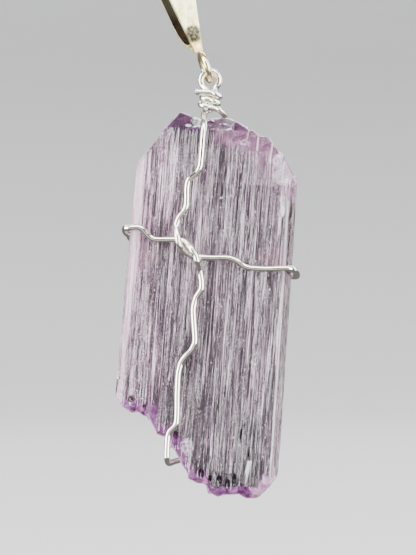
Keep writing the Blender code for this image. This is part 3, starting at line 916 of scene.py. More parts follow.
def neck_wraps():
    """Turns round the two legs, passing in front from right to left and rising, with a straight cut end."""
    turns = []
    for step in WRAP_STEPS:
        angle = step * math.tau / WRAP_POINTS
        height = WRAP_START + WRAP_PITCH * angle / math.tau - WRAP_DROP * math.cos(angle)
        outward = Vector((math.cos(angle), -math.sin(angle)))
        shift = LEG * min(1.0, max(-1.0, WRAP_HOLD * outward.dot(LEG.normalized())))
        place = WRAP_REACH * outward + shift
        turns.append((neck_middle(height) + place.x, place.y, height))
    return turns + [(-0.0031, -0.00145, 0.02655), (-0.0035, -0.00145, 0.02655)]


print("Turns round the neck:", round(len(WRAP_STEPS) / WRAP_POINTS, 1))

# %% The wire's places
down_front = [
    (-0.0021, -0.0005, 0.0242), (-0.0022, -0.0008, 0.02395), (-0.00215, -0.0013, 0.02375),
    (-0.0021, -0.0018, 0.0235), (-0.0020, -0.0026, 0.0232), (-0.0019, -0.0036, 0.0227),
    (-0.0018, -0.0042, 0.0218),
]
upper_front = [
    (-0.0018, 0.0205, 0), (-0.0018, 0.0180, 0), (-0.00185, 0.0172, 0), (-0.0020, 0.01665, 0),
    (-0.00225, 0.01625, 0), (-0.00295, 0.0156, 0), (-0.0032, 0.0152, 0), (-0.0033, 0.0143, 0),
    (-0.0032, 0.0128, 0), (-0.0032, 0.0121, 0), (-0.00335, 0.0115, 0), (-0.00395, 0.0106, 0),
    (-0.00415, 0.01005, 0), (-0.00425, 0.0094, 0.0001), (-0.00415, 0.0088, 0.0005),
    (-0.0040, 0.0083, 0.0008), (-0.00385, 0.00785, 0.0009), (-0.0038, 0.0075, 0.0009),
    (-0.0036, 0.00705, 0.0008), (-0.0033, 0.00665, 0.0005), (-0.0029, 0.0063, 0.0002),
    (-0.00245, 0.0060, 0), (-0.0015, 0.00575, 0), (0.0003, 0.00575, 0), (0.0027, 0.0059, 0),
    (0.00335, 0.00575, 0), (0.00395, 0.0055, 0), (0.00455, 0.0051, 0), (0.0052, 0.0049, 0),
    (0.00735, 0.0049, 0), (0.0092, 0.0051, 0),
]
back_across = [
    (0.0085, 0.0041, 0), (0.0060, 0.0045, 0), (0.0030, 0.0055, 0), (0.0005, 0.0057, 0),
    (-0.0030, 0.0066, 0), (-0.0060, 0.0072, 0), (-0.0088, 0.0072, 0),
]
lower_front = [
    (-0.0093, 0.00885, 0), (-0.0087, 0.00875, 0), (-0.0083, 0.00845, 0), (-0.0075, 0.00775, 0),
    (-0.0071, 0.00755, 0), (-0.0065, 0.0075, 0), (-0.0047, 0.00765, 0), (-0.00355, 0.00765, 0),
    (-0.0030, 0.0075, 0.0001), (-0.0025, 0.00715, 0.0004), (-0.0021, 0.00675, 0.0008),
    (-0.0018, 0.00635, 0.0009), (-0.0015, 0.0060, 0.0009), (-0.00135, 0.00565, 0.0009),
    (-0.0012, 0.00525, 0.0009), (-0.00105, 0.0048, 0.0006), (-0.00085, 0.0042, 0.0002),
    (-0.0005, 0.00265, 0), (-0.00045, 0.00185, 0), (-0.0006, 0.00145, 0), (-0.0010, 0.0007, 0),
    (-0.00125, -0.00045, 0), (-0.00125, -0.0011, 0), (-0.00095, -0.0032, 0), (-0.00075, -0.00495, 0),
    (-0.0009, -0.0055, 0), (-0.0011, -0.0060, 0), (-0.00175, -0.0068, 0), (-0.0023, -0.00775, 0),
    (-0.0024, -0.0083, 0), (-0.0025, -0.0090, 0), (-0.00245, -0.0114, 0), (-0.00225, -0.01495, 0),
    (-0.00235, -0.0156, 0), (-0.00305, -0.01655, 0), (-0.0032, -0.01715, 0), (-0.0032, -0.01805, 0),
    (-0.00315, -0.0192, 0),
]
under_the_end = [
    (-0.0031, -0.0042, -0.0199), (-0.0030, -0.0036, -0.0204), (-0.00285, -0.0024, -0.02055),
    (-0.00265, -0.0008, -0.02045), (-0.0023, 0.0010, -0.02035), (-0.00205, 0.0028, -0.0202),
    (-0.0019, 0.0040, -0.0195),
]
back_up = [
    (-0.0014, -0.0175, 0), (-0.0008, -0.0130, 0), (-0.0010, -0.0080, 0), (-0.0004, -0.0030, 0),
    (0.0001, 0.0020, 0.0001), (0.0002, 0.0045, 0.0008), (0.0003, 0.0057, 0.0010),
    (0.0003, 0.0070, 0.0008), (0.0001, 0.0100, 0.0001), (-0.0001, 0.0140, 0), (0.0003, 0.0180, 0),
]
over_the_top = [
    (0.0004, 0.0043, 0.0202), (0.0005, 0.0038, 0.0216), (0.0005, 0.0030, 0.0228),
    (0.0003, 0.0020, 0.0237), (0.0001, 0.0009, 0.02415), (-0.0002, -0.0001, 0.0244),
    (-0.0006, -0.0009, 0.0246),
]
print("Places seen from the front:", len(down_front + upper_front + lower_front))


# %% The wire's whole route
def wire_route(centre):
    """The wire's whole way in the crystal's frame, from the stub in the neck to the end of the top wrap."""
    return (
        loop_and_neck(centre.x, centre.z)
        + down_front
        + on_face(-1, upper_front)
        + round_edge(1, 0.0052, 0.0042, forward=-1)
        + on_face(1, back_across)
        + round_edge(-1, 0.0073, 0.0087, forward=1)
        + on_face(-1, lower_front)
        + under_the_end
        + on_face(1, back_up)
        + over_the_top
        + neck_wraps()
    )


route = smooth(wire_route(crystal_frame.inverted() @ HANG))
length = sum((after - before).length for before, after in zip(route, route[1:]))
print("The wire's route:", round(1000 * length), "mm")

# %% [markdown]
# A curve with a bevel would give a plain tube. Geometry Nodes draw the wire along its route as a drawplate
# would, and can do more: the route becomes a curve with even steps, a circle is swept along it, and faint
# dents are pressed in where pliers and fingers held it. Each point keeps its place along and round the wire,
# so that scratches in the finish can follow the wire.

# %% A recipe for drawn wire
def wire_recipe():
    recipe = Recipe(
        "drawn_wire",
        {
            "Diameter": WIRE,
            "Step": 0.00012,
            "Sides": 20,
            "Dent Size": 0.0009,
            "Dent Depth": 0.000003,
            "Worn End": 0.00025,
            "Seed": 3.0,
            "Finish": silver,
        },
    )
    node, given = recipe.node, recipe.given
    steps = {"Curve": recipe.curve(), "Length": given("Step")}
    route = node("GeometryNodeResampleCurve", {"mode": "LENGTH"}, steps)
    along = node("GeometryNodeSplineParameter", output="Length")
    route = recipe.keeping(route, "along", along)
    to_end = along.at_most(node("GeometryNodeSplineLength") - along)
    worn = 0.8 + 0.2 * (to_end / given("Worn End")).rise(0.0, 1.0)
    size = {"Resolution": given("Sides"), "Radius": given("Diameter") / 2.0}
    circle = node("GeometryNodeCurvePrimitiveCircle", {"mode": "RADIUS"}, size)
    circle = recipe.keeping(circle, "drawn", recipe.place(), "FLOAT_VECTOR")
    wire = recipe.swept(route, circle, Scale=worn)
    right, up, _ = recipe.parts(recipe.kept("drawn", "FLOAT_VECTOR"))
    drawn = recipe.joined(right, up, recipe.kept("along"))
    wire = recipe.keeping(wire, "drawn", drawn, "FLOAT_VECTOR")
    size = given("Dent Size")
    cells = drawn.vector("DIVIDE", recipe.joined(size, size, size))
    dents = recipe.noise(cells.vector("ADD", recipe.joined(y=given("Seed"))), 3.0, 0.6)
    pressed = node("GeometryNodeInputNormal").scaled((dents - 0.55) * 2.0 * given("Dent Depth"))
    return recipe.end(recipe.moved(wire, Offset=pressed))


drawn_wire = wire_recipe()
wire = polyline("wire_wrap_piece", [crystal_frame @ point for point in route])
drawn_wire.run(wire)
shade(wire, crease=50)
print("Wire:", triangles(wire), "triangles")

# %% [markdown]
# ## The ring
# The ring is the same silver wire, bent to a circle and soldered under the bail's tips, so the same recipe
# draws it. Its heavier dents are the marks of the pliers that closed it.

# %% The ring under the bail
RING_POINTS = 72
ring_turn = Matrix.Rotation(-RING_LEAN, 4, "Y") @ Matrix.Rotation(RING_YAW, 4, "Z")
ring_down = Vector((math.sin(RING_LEAN), 0, -math.cos(RING_LEAN)))
ring_centre = HANG - RING_RADIUS * ring_down
circle = [
    ring_centre + ring_turn @ Vector((0, RING_RADIUS * math.cos(a), RING_RADIUS * math.sin(a)))
    for a in (math.tau * number / RING_POINTS for number in range(RING_POINTS))
]
ring = polyline("bail_ring_piece", circle, closed=True)
drawn_wire.values.update({"Dent Depth": 0.000007, "Worn End": 1e-9, "Seed": 11.0, "Finish": ring_silver})
drawn_wire.run(ring)
shade(ring)
print("Ring:", triangles(ring), "triangles")

# %% [markdown]
# ## The bail
# The bail is one flat strip, tapered to both ends and folded over a mandrel. A bend modifier would turn it
# into an even arc, but seen from its side the real strip is a line with a tight fold: down the front, over
# the fold, and down the back to a curl that closes on the front tip. So Geometry Nodes lay a grid along that
# line and narrow it by its distance from the fold. Modifiers then give it its thickness and its filed edges,
# and a bead of solder closes the tips.

# %% The strip seen from its side
def strip_line():
    """Places as (front to back, up), made one smooth line."""
    radius = FOLD_RADIUS
    below_fold = radius - STRIP / 2
    front = [(-radius - 0.00005, -FRONT_TIP), (-radius - 0.00008, -0.0090), (-radius, -0.0050)]
    arc = [math.radians(degrees) for degrees in range(180, -1, -30)]
    fold = [(radius * math.cos(a), radius * math.sin(a) - below_fold) for a in arc]
    back = [
        (radius + 0.0001, -0.0050),
        (radius + 0.0001, -0.0078),
        (0.00155, -0.0090),
        (0.0010, -0.0099),
        (0.00025, -0.0106),
        (-0.0003, -0.0109),
        (-0.00105, -0.0111),
    ]
    return smooth([(q, s, 0) for q, s in front + fold + back])


line = strip_line()
travelled = [0.0]
for before, here in zip(line, line[1:]):
    travelled.append(travelled[-1] + (here - before).length)
to_fold = travelled[max(range(len(line)), key=lambda number: line[number].y)]
print("Strip:", round(1000 * travelled[-1], 1), "mm long, folded at", round(1000 * to_fold, 1), "mm")


# %% A recipe for the folded strip
def strip_recipe():
    recipe = Recipe(
        "folded_strip",
        {
            "Width": STRIP_WIDTH,
            "Taper": STRIP_TAPER,
            "Tip Width": TIP_WIDTH,
            "Length to Fold": to_fold,
            "Columns": 22,
            "Rows": 170,
            "Unevenness": 0.00002,
            "Finish": worn_silver,
        },
    )
    node, given = recipe.node, recipe.given
    path = recipe.curve()
    total = node("GeometryNodeCurveLength", {}, {"Curve": path})
    size = {"Size X": 1.0, "Size Y": 1.0, "Vertices X": given("Columns"), "Vertices Y": given("Rows")}
    sheet = node("GeometryNodeMeshGrid", {}, size, "Mesh")
    across, along, _ = recipe.parts(recipe.place())
    factor = along + 0.5
    sample = {"Curves": path, "Factor": factor}
    on_path = node("GeometryNodeSampleCurve", {"mode": "FACTOR"}, sample, "Position")
    depth, height, _ = recipe.parts(on_path)
    width = given("Width") - given("Taper") * abs(factor * total - given("Length to Fold"))
    width = width.at_least(given("Tip Width"))
    waves = recipe.noise(recipe.joined(across * 2.0, along * 18.0), 2.0, 0.6)
    uneven = (waves - 0.5) * 2.0 * given("Unevenness")
    laid = recipe.joined(across * width, depth + uneven, height)
    return recipe.end(recipe.moved(sheet, Position=laid))


# %% The folded strip with its thickness and filed edges
RIM_ROUND = 0.0001
rim_angle = math.radians(50)
bail = polyline("bail_piece", line)
strip_recipe().run(bail)
modify(bail, "thickness", "SOLIDIFY", thickness=STRIP, offset=0.0, use_even_offset=True)
modify(bail, "filed_rim", "BEVEL", width=RIM_ROUND, segments=3, limit_method="ANGLE", angle_limit=rim_angle)
applied(bail)
form = bmesh.new()
form.from_mesh(bail.data)
bmesh.ops.recalc_face_normals(form, faces=form.faces[:])
form.to_mesh(bail.data)
form.free()
print("Folded strip:", triangles(bail), "triangles")

# %% The bead of solder that closes the tips
BEAD = (0.00042, 0.00050, 0.00034)  # half its size across, front to back and up
BEAD_PLACE = (0, -0.0013, -0.0109)
FACING_IN = -0.0002  # a face's normal times its distance from the strip's middle plane, in metres
form = bmesh.new()
bmesh.ops.create_icosphere(form, subdivisions=4, radius=1.0)
bead_form = Matrix.Translation(BEAD_PLACE) @ Matrix.Diagonal((*BEAD, 1.0))
bmesh.ops.transform(form, matrix=bead_form, verts=form.verts)
boolean(bail, placed("solder_bead", mesh_of(form, "solder_bead")), "UNION")

facing_in = face_middles(bail.data)[:, 1] * rows(bail.data.polygons, "normal")[:, 1]
keep(bail.data, "inner_side", "FACE", facing_in < FACING_IN)
bail.data.transform(bail_turn)
shade(bail, crease=40)
print("Bail:", triangles(bail), "triangles")

# %% [markdown]
# ## Pieces and bodies
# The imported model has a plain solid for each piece. Each finished piece stands for one of them, and rides on
# its body: the crystal and the wire swing together as the pendant, under the bail with its ring.

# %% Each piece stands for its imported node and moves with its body
for piece, node_name, body, slot in (
    (crystal, "kunzite_crystal", "pendant", "kunzite"),
    (wire, "wire_wrap", "pendant", "silver_wire"),
    (ring, "bail_ring", "bail", "ring_silver"),
    (bail, "bail", "bail", "worn_silver"),
):
    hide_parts(node_name)
    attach(piece, body)
    print(piece.name, "stands for", node_name, "on the body", body)

# %% [markdown]
# ## The kunzite's finish
# Kunzite is clear, but this crystal's broad faces are grooved so finely that they look brushed: pale lilac
# ridges beside grey grooves. That grey is painted shade, standing for dark surroundings seen through the clear
# stone. The growth facets at the ends are smooth and show the stone's own violet. A picture laid on it would
# carry its own light and end at the edges. So the finish is glass with a violet absorption inside it, and masks
# of stretched noise on its surface colour, its roughness and its relief; some of these masks paint highlights
# and shade into the colour.
# Every mask is read in the crystal's own frame, in millimetres: u runs across, v from front to back and w
# along the crystal.

# %% A finish: a material's tree, with the place on the piece in millimetres
class Finish(Tree):
    """A material's tree, with its surface shader and the place in millimetres of a frame of its own."""

    def __init__(self, material, origin=(0.0, 0.0, 0.0), turn=(0.0, 0.0, 0.0)):
        material.use_nodes = True
        super().__init__(material.node_tree)
        self.material = material
        self.shader = self.made.nodes["Principled BSDF"]
        objects = self.node("ShaderNodeTexCoord", output="Object")
        turned = {"Vector": objects, "Location": origin, "Rotation": turn, "Scale": (MILLIMETRE,) * 3}
        self.place = self.node("ShaderNodeMapping", {"vector_type": "TEXTURE"}, turned)

    def kept(self, name, output="Fac"):
        """A value that was kept on the mesh under a name."""
        return self.node("ShaderNodeAttribute", {"attribute_name": name}, {}, output)

    def pattern(self, across, along, shift=0.0, detail=2.0, roughness=0.5, place=None):
        """Noise in cells of a size, stretched along the third axis. The shift makes each pattern another."""
        counted = (place or self.place).vector("DIVIDE", (across, across, along))
        return self.noise(counted.vector("ADD", (shift, 0.0, 0.0)), detail, roughness)

    def painted(self, colour, *marks):
        """The colour under marks that are painted one over the other, each as (how much, its colour)."""
        for amount, paint in marks:
            colour = self.blend(amount, colour, paint)
        return colour

    def give(self, label, value):
        """Sets or feeds one socket of the surface shader."""
        self.feed(self.shader.inputs[label], value)

    def emboss(self, height, strength, distance):
        sockets = {"Strength": strength, "Distance": distance, "Height": height}
        self.give("Normal", self.node("ShaderNodeBump", {}, sockets))

    def tell(self, stage):
        print(self.material.name, stage + ":", len(self.made.nodes), "nodes")


# %% Shapes of marks
def within(field, low, high, soft):
    """1 where the field lies between low and high, fading to 0 over the soft width outside them."""
    return field.rise(low - soft, low) * (1.0 - field.rise(high, high + soft))


def spot(across, up, centre, size):
    """A soft oval mark round a centre, given with its half width and half height."""
    aside = (across - centre[0]) / size[0]
    above = (up - centre[1]) / size[1]
    return 1.0 - (aside * aside + above * above).rise(0.45, 1.15)


def stroke(across, up, start, end, half):
    """A thin straight mark from a start to an end, which lies below it."""
    lean = (start[0] - end[0]) / (start[1] - end[1])
    aside = abs(across - start[0] - (up - start[1]) * lean)
    return (1.0 - aside.rise(0.5 * half, half)) * within(up, end[1], start[1], 0.25)


# %% The kunzite: the patterns of its grooved faces
stone = Finish(kunzite, CRYSTAL_MIDDLE, (0.0, CRYSTAL_TILT, 0.0))
u, v, w = stone.parts(stone.place)
groove = stone.kept("groove")
hollow = stone.kept("hollow")
clear_facet = stone.kept("clear_facet")
inside_tip = stone.kept("depth_inside_tip") / MILLIMETRE

hairs = stone.pattern(0.18, 9.0).rise(0.42, 0.58)
lines = stone.pattern(0.26, 20.0, 7.0, roughness=0.6).rise(0.42, 0.58)
bands = stone.pattern(2.2, 30.0, 3.0, detail=1.0).rise(0.3, 0.7)
dashes = stone.pattern(0.17, 1.6, 17.0).rise(0.41, 0.59)
patches = stone.pattern(1.6, 3.0, 11.0, detail=1.0).rise(0.55, 0.70)
grain = stone.pattern(0.18, 0.26, 5.0, roughness=0.6).rise(0.38, 0.62)
glints = stone.pattern(0.20, 0.40, 41.0, detail=1.0).rise(0.70, 0.76)


def threads(shift, across, along, thin):
    """Thin long lines: where stretched noise crosses its middle value."""
    crossing = abs(stone.pattern(across, along, shift, detail=1.0) - 0.5)
    return 1.0 - crossing.rise(0.4 * thin, thin)


# Painted highlights: the bright threads. Painted shade: the dark threads, for dark surroundings seen through
# the clear stone.
painted_highlight_threads = threads(21.0, 0.52, 26.0, 0.045) * stone.pattern(0.9, 11.0, 61.0).rise(0.44, 0.60)
painted_shade_threads = threads(31.0, 0.60, 20.0, 0.050) * stone.pattern(1.1, 9.0, 71.0).rise(0.42, 0.58)
stone.tell("with its patterns")

# %% [markdown]
# One number, the tone, runs from dark to light over the broad faces. It adds up the patterns by weight, gets
# more grain where the stone is etched, and is darker in the middle and to the right than at the left edge. Its
# dark streaks, dark threads and darker grooves are painted shade for dark surroundings seen through the clear
# stone, and its bright threads are painted highlights.

# %% The kunzite: how light each place is
front = 1.0 - v.rise(-2.0, -1.0)
etched = spot(u, w, (-3.7, -13.7), (1.4, 2.6)) + spot(u, w, (0.1, -15.0), (1.1, 1.5))
etched = front * (etched + spot(u, w, (-2.7, 18.0), (2.8, 0.9)))
etched = etched.at_least(patches).at_most(1.0)
# Painted shade: a patch left of the middle, where the dark threads are darker and the tone is lower.
painted_shade_patch = spot(u + 0.05 * w, w, (-5.8, 3.0), (1.4, 9.0))
frosted_patch = spot(u, w, (7.4, -11.6), (1.5, 3.0))

# Painted shade: the tone is lower in the grooves.
tone = 0.34 * hairs + 0.27 * lines + 0.22 * dashes + 0.14 * bands - 0.14 * groove
tone = tone + (grain - 0.45) * (0.17 + 0.35 * etched + 0.16 * (1.0 - u.rise(-7.0, -1.0)))
tone = tone - (0.34 + 0.30 * painted_shade_patch) * painted_shade_threads + 0.58 * painted_highlight_threads
tone = tone - (0.30 - 0.18 * w.rise(-18.0, 8.0)) * u.rise(-7.0, -3.0) * (0.45 + 0.55 * front)
tone = tone + 0.16 * frosted_patch - 0.24 * painted_shade_patch - 0.12 * w.rise(19.2, 20.6)
stone.tell("with its tone")

# %% The kunzite: grey in the middle, pink at the left, mauve on the right bevel
GREY = (
    (0.0, (0.018, 0.012, 0.018)),
    (0.25, (0.066, 0.046, 0.061)),
    (0.50, (0.195, 0.142, 0.175)),
    (0.75, (0.42, 0.315, 0.375)),
    (1.0, (0.96, 0.88, 0.92)),
)
PINK = (
    (0.0, (0.030, 0.017, 0.028)),
    (0.25, (0.11, 0.066, 0.098)),
    (0.50, (0.34, 0.205, 0.285)),
    (0.75, (0.68, 0.42, 0.56)),
    (1.0, (1.0, 0.80, 0.90)),
)
grey = stone.node("ShaderNodeValToRGB", {"stops": GREY}, {"Fac": tone}, "Color")
pink = stone.node("ShaderNodeValToRGB", {"stops": PINK}, {"Fac": tone}, "Color")
left_blush = 1.0 - (u + 2.0 * (bands - 0.5)).rise(-9.0, -2.5)
half_wide = (WIDTH_MIDDLE - WIDTH_GROWTH * MILLIMETRE * w) / (2 * MILLIMETRE)
from_right = half_wide - u
left_band = 1.0 - (half_wide + u).rise(0.9, 1.5)
mauve = stone.blend(hairs, (0.022, 0.005, 0.010), (0.10, 0.036, 0.052))
pale_mauve = stone.blend(hairs, (0.26, 0.17, 0.20), (0.46, 0.34, 0.39))
mauve = stone.blend(0.9 * (1.0 - w.rise(-17.0, -1.0)), mauve, pale_mauve)
bevel = (1.0 - from_right.rise(0.54, 0.70)) * (1.0 - 0.85 * v.rise(-2.6, -0.2))
# Painted highlight: a bright line along the border of the right bevel and the front face. The glints painted
# below are painted highlights too.
painted_edge_highlight = (1.0 - abs(from_right - 0.70 - 0.3 * (bands - 0.5)).rise(0.05, 0.20)) * (0.30 + 0.55 * lines)
faces = stone.painted(
    grey,
    (0.15 + 0.85 * left_blush, pink),
    ((0.25 + 0.40 * lines) * left_band, (1.0, 0.70, 0.87)),
    (bevel, mauve),
    (painted_edge_highlight, (0.98, 0.94, 0.97)),
    (0.8 * glints, (1.0, 0.98, 1.0)),
)
stone.tell("with its grooved faces")

# %% [markdown]
# Some marks are single: a painted highlight on one small face, a clear window, a streak. Noise would put
# them anywhere, so each is a soft oval, band or stroke at a given place. They are painted in order, the later
# over the earlier, some of them under the violet of the ends and some over it.

# %% The kunzite: single marks under the violet
# Painted highlight: a small white oval where one face mirrors a lamp.
painted_highlight_oval = spot(u, w, (8.95, 12.4), (0.24, 0.80))
lilac_window = within(u, 5.0, 7.4, 0.5) * within(w, 15.5, 18.0, 0.25)
pink_cast = spot(u, w, (8.2, 6.6), (2.4, 1.4)) + spot(u, w, (-8.0, 5.4), (2.2, 1.6))
cream_streak = stroke(u, w, (7.3, -19.5), (6.7, -22.7), 0.34)
cloud = stone.pattern(0.9, 1.1, 2.0).rise(0.35, 0.65)
lilac = stone.blend(cloud, (0.15, 0.055, 0.12), (0.36, 0.185, 0.30))
lilac = stone.blend(0.4 * lines, lilac, (0.50, 0.34, 0.45))
lower_edge = w + 0.28 * u + 0.75 * (u - 4.4).at_least(0.0)
glassy_end = (lower_edge + 0.8 * (bands - 0.5) + 0.5 * (lines - 0.5)).rise(20.0, 20.8)
top_middle = w.rise(21.9, 22.3) * (1.0 - u.rise(4.2, 5.2))
upper_right = glassy_end * u.rise(-1.4, 0.6) * (1.0 - 0.8 * top_middle)
marked = stone.painted(
    faces,
    (0.9 * front * painted_highlight_oval, (1.0, 1.0, 1.0)),
    (0.55 * front * lilac_window, (0.34, 0.23, 0.30)),
    (0.22 * front * pink_cast, (0.50, 0.28, 0.34)),
    (0.9 * front * cream_streak, (0.97, 0.92, 0.90)),
    (0.85 * upper_right, lilac),
)
stone.tell("with its first marks")

# %% The kunzite: violet growth facets at both ends
deep = stone.blend(cloud, (0.115, 0.012, 0.125), (0.34, 0.125, 0.31))
top_left = stone.blend(cloud, (0.026, 0.003, 0.034), (0.075, 0.016, 0.082))
bright_corner = stone.blend(cloud, (0.46, 0.20, 0.42), (0.78, 0.46, 0.72))
pink_corner = (1.0 - w.rise(-20.2, -19.6)) * u.rise(7.3, 8.1)
violet = stone.blend(w.rise(0.0, 1.0), deep, top_left)
violet = stone.painted(violet, (upper_right, lilac), (pink_corner, bright_corner))

lobes = 1.0 - (inside_tip + 0.7 * (cloud - 0.5) - 0.5 * within(u, -0.6, 1.4, 0.8)).rise(1.25, 1.5)
beside_corner = (w + 0.4 * (u - 7.5)).rise(-20.4, -19.9) * u.rise(6.4, 7.2)
lobes = lobes * (1.0 - beside_corner)
thin_rim = 1.0 - inside_tip.rise(0.15, 0.35)
lower_or_upper = {"Factor": w.rise(0.0, 1.0), "A": lobes, "B": thin_rim}
rim = stone.node("ShaderNodeMix", {}, lower_or_upper, "Result")
top_left_end = (w.rise(21.45, 21.55) * (1.0 - u.rise(0.4, 1.2))).at_least(top_middle)
ends = clear_facet.at_least(rim).at_least(top_left_end)
stone.tell("with its violet ends")

# %% The kunzite: single marks over the violet
flakes = stone.pattern(0.30, 0.34, 81.0, detail=1.0).rise(0.42, 0.56)
pale_patch = spot(u, w, (-0.8, -18.3), (0.95, 1.2)) * (0.25 + 0.75 * flakes) * inside_tip.rise(0.7, 1.0)
# Painted shade: a dark band among the etched hollows near the lower end, and dark paint inside each hollow.
shaded_hollow_band = within(inside_tip, 1.15, 2.7, 0.2) * within(u, 0.6, 6.8, 0.4) * (1.0 - w.rise(-19.5, -18.5))
shaded_hollow_band = shaded_hollow_band * stone.pattern(0.30, 0.38, 51.0, detail=3.0, roughness=0.7).rise(0.32, 0.46)
painted_hollow_shade = (0.94 * front * shaded_hollow_band).at_least(hollow * (0.5 + 0.4 * hairs))
ledge = within(w, 21.38, 21.48, 0.06) * (1.0 - u.rise(-2.2, -1.6))
frost = (spot(u, w, (8.6, 18.6), (1.6, 1.3)) + spot(u, w, (8.6, 16.7), (1.3, 1.2))).at_most(1.0)
crumbs = stone.pattern(0.16, 0.18, 91.0, roughness=0.6).rise(0.40, 0.60)
crumbled = stone.blend(crumbs, (0.46, 0.32, 0.40), (1.0, 0.94, 0.97))
outer_rim = 1.0 - inside_tip.rise(0.06, 0.24)
fractures = stroke(u, w, (4.95, 21.4), (5.05, 19.8), 0.13) + stroke(u, w, (6.85, 20.8), (6.8, 18.4), 0.13)
bits = spot(u, w, (-3.4, 22.9), (0.28, 0.22)) + spot(u, w, (-3.9, 22.2), (0.42, 0.20))
pale_marks = (fractures + bits).at_most(1.0)
dark_marks = spot(u, w, (0.85, 22.3), (0.45, 0.26)) + spot(u, w, (-2.9, 21.9), (0.50, 0.22))
colour = stone.painted(
    marked,
    (0.95 * ends, violet),
    (0.75 * front * pale_patch, (0.92, 0.90, 0.95)),
    (painted_hollow_shade, (0.018, 0.010, 0.018)),
    (0.7 * front * ledge, (0.04, 0.025, 0.05)),
    (0.85 * front * frost, crumbled),
    (0.6 * outer_rim, (0.80, 0.55, 0.76)),
    (0.85 * front * pale_marks, (0.97, 0.90, 0.95)),
    (front * dark_marks, (0.09, 0.02, 0.13)),
)
stone.give("Base Color", colour)
stone.tell("with its whole colour")

# %% [markdown]
# The inside is plain glass: transmission, kunzite's refractive index, and a violet absorption that deepens
# with the way that light travels through the stone. The facets are left smooth, and the grooved faces get a
# rougher gloss and a fine bump from the same patterns that colour them.

# %% The kunzite: gloss, relief and the clear inside
KUNZITE_IOR = 1.66
smoothness = ends.at_least(0.7 * upper_right)
rough = 0.12 + 0.12 * (1.0 - tone) + 0.12 * etched
satin = 0.08 + 0.14 * w.rise(0.0, 1.0)
stone.give("Roughness", rough * (1.0 - smoothness) + satin * smoothness)
relief = hairs * 0.5 + lines * 0.4 + grain * (0.25 + 0.75 * etched) * 0.6
stone.emboss(relief * (1.0 - 0.9 * smoothness), 0.8, 0.00003)
stone.give("Transmission Weight", 0.55)
stone.give("IOR", KUNZITE_IOR)
absorption = stone.node("ShaderNodeVolumeAbsorption", {}, {"Color": (0.77, 0.42, 0.76), "Density": 85.0})
stone.feed(kunzite.node_tree.nodes["Material Output"].inputs["Volume"], absorption)
stone.tell("with its gloss and its inside")

# %% [markdown]
# ## The silver finishes
# The wire is polished, with fine lines left by the drawplate and a faint warm tarnish. Lines read from places
# in the scene would cut straight through its bends. So its marks are read from the place along and round the
# wire that the recipe kept, and they follow every bend. It is duller at the hook, the neck and the loop,
# where pliers bent it. The bail is older and duller: off-white, mottled, with a dark stain above its tips,
# solder between them, and brown tarnish on its inner side, where it is never rubbed. The strip is nearly
# flat, so the bail's own frame is enough to place these marks.

# %% Silver: the part that the wire and the ring share
def drawn_silver(material, bright, dull, tarnish, tarnished, roughness):
    """Polished wire. Bright and dull are its colours, and tarnished says how much of it is dull."""
    metal = Finish(material)
    across, _, up = metal.parts(metal.place)
    handled = up.rise(-23.0, -21.0) + spot(across, up, (2.5, -35.0), (2.6, 2.6))
    drawn = metal.kept("drawn", "Vector").scaled(1 / MILLIMETRE)
    scratches = metal.pattern(0.05, 2.6, roughness=0.6, place=drawn)
    nicks = metal.pattern(0.22, 0.30, 9.0, roughness=0.6, place=drawn).rise(0.60, 0.72)
    clouds = metal.pattern(0.9, 2.2, 4.0, roughness=0.6, place=drawn)
    tarnish_clouds = 1.0 - clouds.rise(tarnished - 0.12, tarnished + 0.14)
    marks = 0.15 * scratches.rise(0.55, 0.70) + 0.08 * nicks
    metal.give("Base Color", metal.painted(bright, (0.8 * tarnish_clouds, dull), (marks, tarnish)))
    worn = 0.03 * scratches.rise(0.3, 0.7) + 0.04 * tarnish_clouds + 0.16 * handled
    metal.give("Roughness", roughness + worn)
    metal.emboss(scratches * 0.6 - nicks * 0.8, 0.08, 0.00001)
    metal.give("Metallic", 1.0)
    metal.tell("drawn and tarnished")


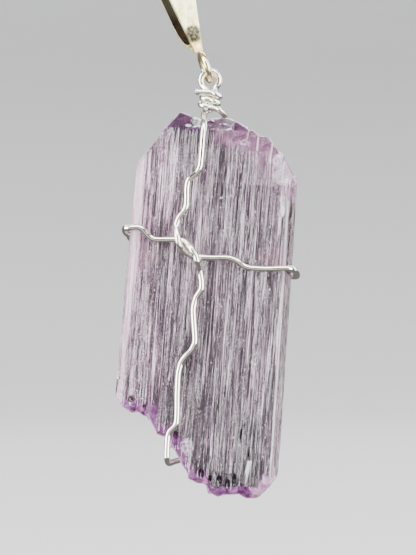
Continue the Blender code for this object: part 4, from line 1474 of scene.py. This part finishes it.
drawn_silver(silver, (0.97, 0.94, 0.82), (0.86, 0.80, 0.62), (0.42, 0.35, 0.25), 0.36, 0.075)
drawn_silver(ring_silver, (0.96, 0.85, 0.48), (0.66, 0.52, 0.27), (0.33, 0.25, 0.14), 0.44, 0.08)

# %% Silver: the worn bail
metal = Finish(worn_silver, turn=tuple(bail_turn.to_euler()))
p, q, s = metal.parts(metal.place)
inner_side = metal.kept("inner_side")
brushed = metal.pattern(0.07, 1.6, roughness=0.6)
mottle = metal.pattern(0.75, 0.9, 3.0, detail=3.0, roughness=0.6)
pits = metal.pattern(0.12, 0.14, 8.0, detail=1.0).rise(0.70, 0.78)
uneven = mottle - 0.5
outside = 1.0 - q.rise(-1.5, -1.2)
stain = spot(p + 0.8 * uneven, s + 0.8 * uneven, (-0.05, -9.25), (1.10, 1.45))
stain = outside * stain * (0.80 + 0.20 * metal.pattern(0.30, 0.35, 6.0).rise(0.35, 0.65))
solder = 1.0 - (s + 0.5 * uneven).rise(-10.45, -10.15)
# Painted highlight: a pale spot in the middle of the solder bead.
painted_solder_highlight = spot(p, s, (0.1, -10.9), (0.35, 0.38))
brown = metal.blend(mottle.rise(0.35, 0.65), (0.006, 0.003, 0.001), (0.035, 0.020, 0.006))
brown = metal.blend(s.rise(-7.5, -4.0), brown, (0.11, 0.10, 0.065))
colour = metal.painted(
    (0.70, 0.60, 0.30),
    (mottle.rise(0.35, 0.60), (1.0, 0.95, 0.56)),
    (0.5 * brushed.rise(0.5, 0.72) + 0.5 * pits, (0.42, 0.36, 0.20)),
    (stain, (0.022, 0.020, 0.012)),
    (0.9 * outside * solder, (0.70, 0.50, 0.14)),
    (0.7 * outside * painted_solder_highlight, (1.0, 0.95, 0.76)),
    (inner_side, brown),
)
metal.give("Base Color", colour)
metal.give("Roughness", 0.30 + 0.12 * mottle + 0.10 * brushed + 0.26 * stain.at_least(inner_side))
metal.emboss(brushed * 0.5 + mottle * 0.6 - pits * 0.8, 0.5, 0.00003)
metal.give("Metallic", 0.7)
metal.tell("mottled and stained")
